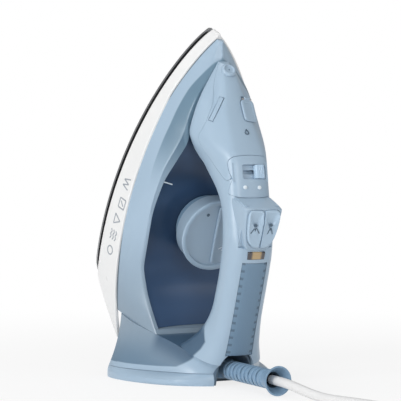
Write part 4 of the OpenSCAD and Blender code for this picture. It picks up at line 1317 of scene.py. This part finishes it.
def make_stage():
    floor_mesh = bpy.data.meshes.new("floor")
    r = bpy.context.scene.iron_sizes.floor_radius
    edge = [(r * c, r * s, 0) for c, s in turns(48)]
    floor_mesh.from_pydata(edge, [], [tuple(range(len(edge)))])
    floor = put("floor", floor_mesh)
    paint = Paint("floor_pale", (0.93, 0.93, 0.93, 1.0), 0.75)
    paint.rough(paint.noise(40.0, 2.0) * 0.1 + 0.7)
    show_white(paint)
    floor.data.materials.append(paint.material)

    world = bpy.data.worlds.new("soft_room")
    bpy.context.scene.world = world
    world.use_nodes = True
    tree = world.node_tree
    room, white = tree.nodes["Background"], tree.nodes.new("ShaderNodeBackground")
    for shade, strength in ((room, ROOM_LIGHT), (white, 1.0)):
        shade.inputs["Color"].default_value = (1, 1, 1, 1)
        shade.inputs["Strength"].default_value = strength
    seen = tree.nodes.new("ShaderNodeLightPath").outputs["Is Camera Ray"]
    blend(tree, seen, room.outputs[0], white.outputs[0], tree.nodes["World Output"].inputs["Surface"])

    for light in LIGHTS:
        area_light(*light)
    bpy.context.scene.view_settings.view_transform = "Standard"


# ---- add-on ------------------------------------------------------------------


class IronSizes(bpy.types.PropertyGroup):
    cord_radius: bpy.props.FloatProperty(
        name="Cord radius", description="Radius of the mains cord", default=0.0035, min=0.002, max=0.0036,
        precision=4, unit="LENGTH", subtype="DISTANCE")
    cord_roundness: bpy.props.IntProperty(
        name="Cord roundness", description="Steps in each quarter of the mains cord", default=4, min=2, max=12)
    floor_radius: bpy.props.FloatProperty(
        name="Floor radius", description="Radius of the round floor", default=14.0, min=2.0, max=50.0,
        unit="LENGTH", subtype="DISTANCE")


class IronColours(bpy.types.PropertyGroup):
    shell: bpy.props.FloatVectorProperty(
        name="Shell", description="Light mouldings of the body and handle", default=(0.345, 0.46, 0.575),
        size=3, min=0, max=1, subtype="COLOR")
    trim: bpy.props.FloatVectorProperty(
        name="Trim", description="Grip, collar, nozzle and buttons", default=(0.17, 0.27, 0.38),
        size=3, min=0, max=1, subtype="COLOR")
    tank: bpy.props.FloatVectorProperty(
        name="Tank", description="Tinted cover of the water tank", default=(0.03, 0.062, 0.125),
        size=3, min=0, max=1, subtype="COLOR")


class IRON_OT_finishes(bpy.types.Operator):
    """Makes every finish of the iron"""
    bl_idname = "iron.finishes"
    bl_label = "Finishes"

    def execute(self, context):
        finishes()
        return {"FINISHED"}


class IRON_OT_camera(bpy.types.Operator):
    """Sets the camera"""
    bl_idname = "iron.camera"
    bl_label = "Camera"

    def execute(self, context):
        make_camera()
        return {"FINISHED"}


class IRON_OT_cord(bpy.types.Operator):
    """Lays the mains cord with its ribbed sleeve, band and plug"""
    bl_idname = "iron.cord"
    bl_label = "Cord and plug"

    def execute(self, context):
        sleeve, (plug, pins), tie = make_sleeve(), make_plug(), make_tie()
        cord, length = make_cord()
        return {"FINISHED"}


class IRON_OT_sole(bpy.types.Operator):
    """Makes the soleplate with its vents and the skirt with its signs"""
    bl_idname = "iron.sole"
    bl_label = "Sole and skirt"

    def execute(self, context):
        make_soleplate()
        make_skirt_signs(make_skirt())
        return {"FINISHED"}


class IRON_OT_body(bpy.types.Operator):
    """Makes the body shell and the tinted tank cover"""
    bl_idname = "iron.body"
    bl_label = "Body and tank cover"

    def execute(self, context):
        make_body()
        make_tank_top()
        return {"FINISHED"}


class IRON_OT_handle(bpy.types.Operator):
    """Makes the hood, the handle, the slider panel and the slider from one swept form"""
    bl_idname = "iron.handle"
    bl_label = "Hood and handle"

    def execute(self, context):
        form = upper_form("upper_form")
        make_hood(form)
        make_handle(form)
        make_panel(form)
        remove(form)
        make_slider()
        return {"FINISHED"}


class IRON_OT_front(bpy.types.Operator):
    """Makes the spray tip, the filler door and the hood strip"""
    bl_idname = "iron.front"
    bl_label = "Spray tip and filler"

    def execute(self, context):
        make_nozzle()
        make_cap()
        make_inlay()
        return {"FINISHED"}


class IRON_OT_controls(bpy.types.Operator):
    """Makes the button block, both buttons, the lamp, the grip and the dial"""
    bl_idname = "iron.controls"
    bl_label = "Buttons, lamp, grip and dial"

    def execute(self, context):
        make_housing()
        make_button("burst_key", -1, "burst", "burst_button")
        make_button("spray_key", 1, "spray", "spray_button")
        make_marks()
        make_lens()
        make_grip()
        make_dial()
        return {"FINISHED"}


class IRON_OT_heel(bpy.types.Operator):
    """Makes the rear shell and the heel's pad"""
    bl_idname = "iron.heel"
    bl_label = "Heel"

    def execute(self, context):
        make_heel()
        return {"FINISHED"}


class IRON_OT_inside(bpy.types.Operator):
    """Gives the inner pieces their finishes"""
    bl_idname = "iron.inside"
    bl_label = "Inner pieces"

    def execute(self, context):
        for node, finish in NODE_FINISH.items():
            obj = frame["nodes"][node]
            obj = bpy.data.objects[obj] if isinstance(obj, str) else obj
            if not obj.material_slots:
                obj.data.materials.append(None)
            for slot in obj.material_slots:
                slot.material = FINISH[finish]
        return {"FINISHED"}


class IRON_OT_stage(bpy.types.Operator):
    """Sets the floor and the lights"""
    bl_idname = "iron.stage"
    bl_label = "Floor and lights"

    def execute(self, context):
        make_stage()
        return {"FINISHED"}


STEPS = (IRON_OT_finishes, IRON_OT_camera, IRON_OT_stage, IRON_OT_cord, IRON_OT_sole, IRON_OT_body, IRON_OT_handle,
         IRON_OT_front, IRON_OT_controls, IRON_OT_heel, IRON_OT_inside)


class IRON_PT_panel(bpy.types.Panel):
    bl_label = "Steam Iron"
    bl_idname = "IRON_PT_panel"
    bl_space_type = "VIEW_3D"
    bl_region_type = "UI"
    bl_category = "Iron"

    def draw(self, context):
        for name in ("iron_sizes", "iron_colours"):
            group = getattr(context.scene, name)
            for key in group.__annotations__:
                self.layout.prop(group, key)
        for step in STEPS:
            self.layout.operator(step.bl_idname)


CLASSES = (IronSizes, IronColours) + STEPS + (IRON_PT_panel,)


def register():
    for c in CLASSES:
        bpy.utils.register_class(c)
    bpy.types.Scene.iron_sizes = bpy.props.PointerProperty(type=IronSizes)
    bpy.types.Scene.iron_colours = bpy.props.PointerProperty(type=IronColours)


def unregister():
    del bpy.types.Scene.iron_colours
    del bpy.types.Scene.iron_sizes
    for c in reversed(CLASSES):
        bpy.utils.unregister_class(c)


def main():
    register()
    for step in STEPS:
        getattr(bpy.ops.iron, step.bl_idname.split(".")[1])()
    bpy.context.view_layer.update()


if __name__ == "__main__":
    main()
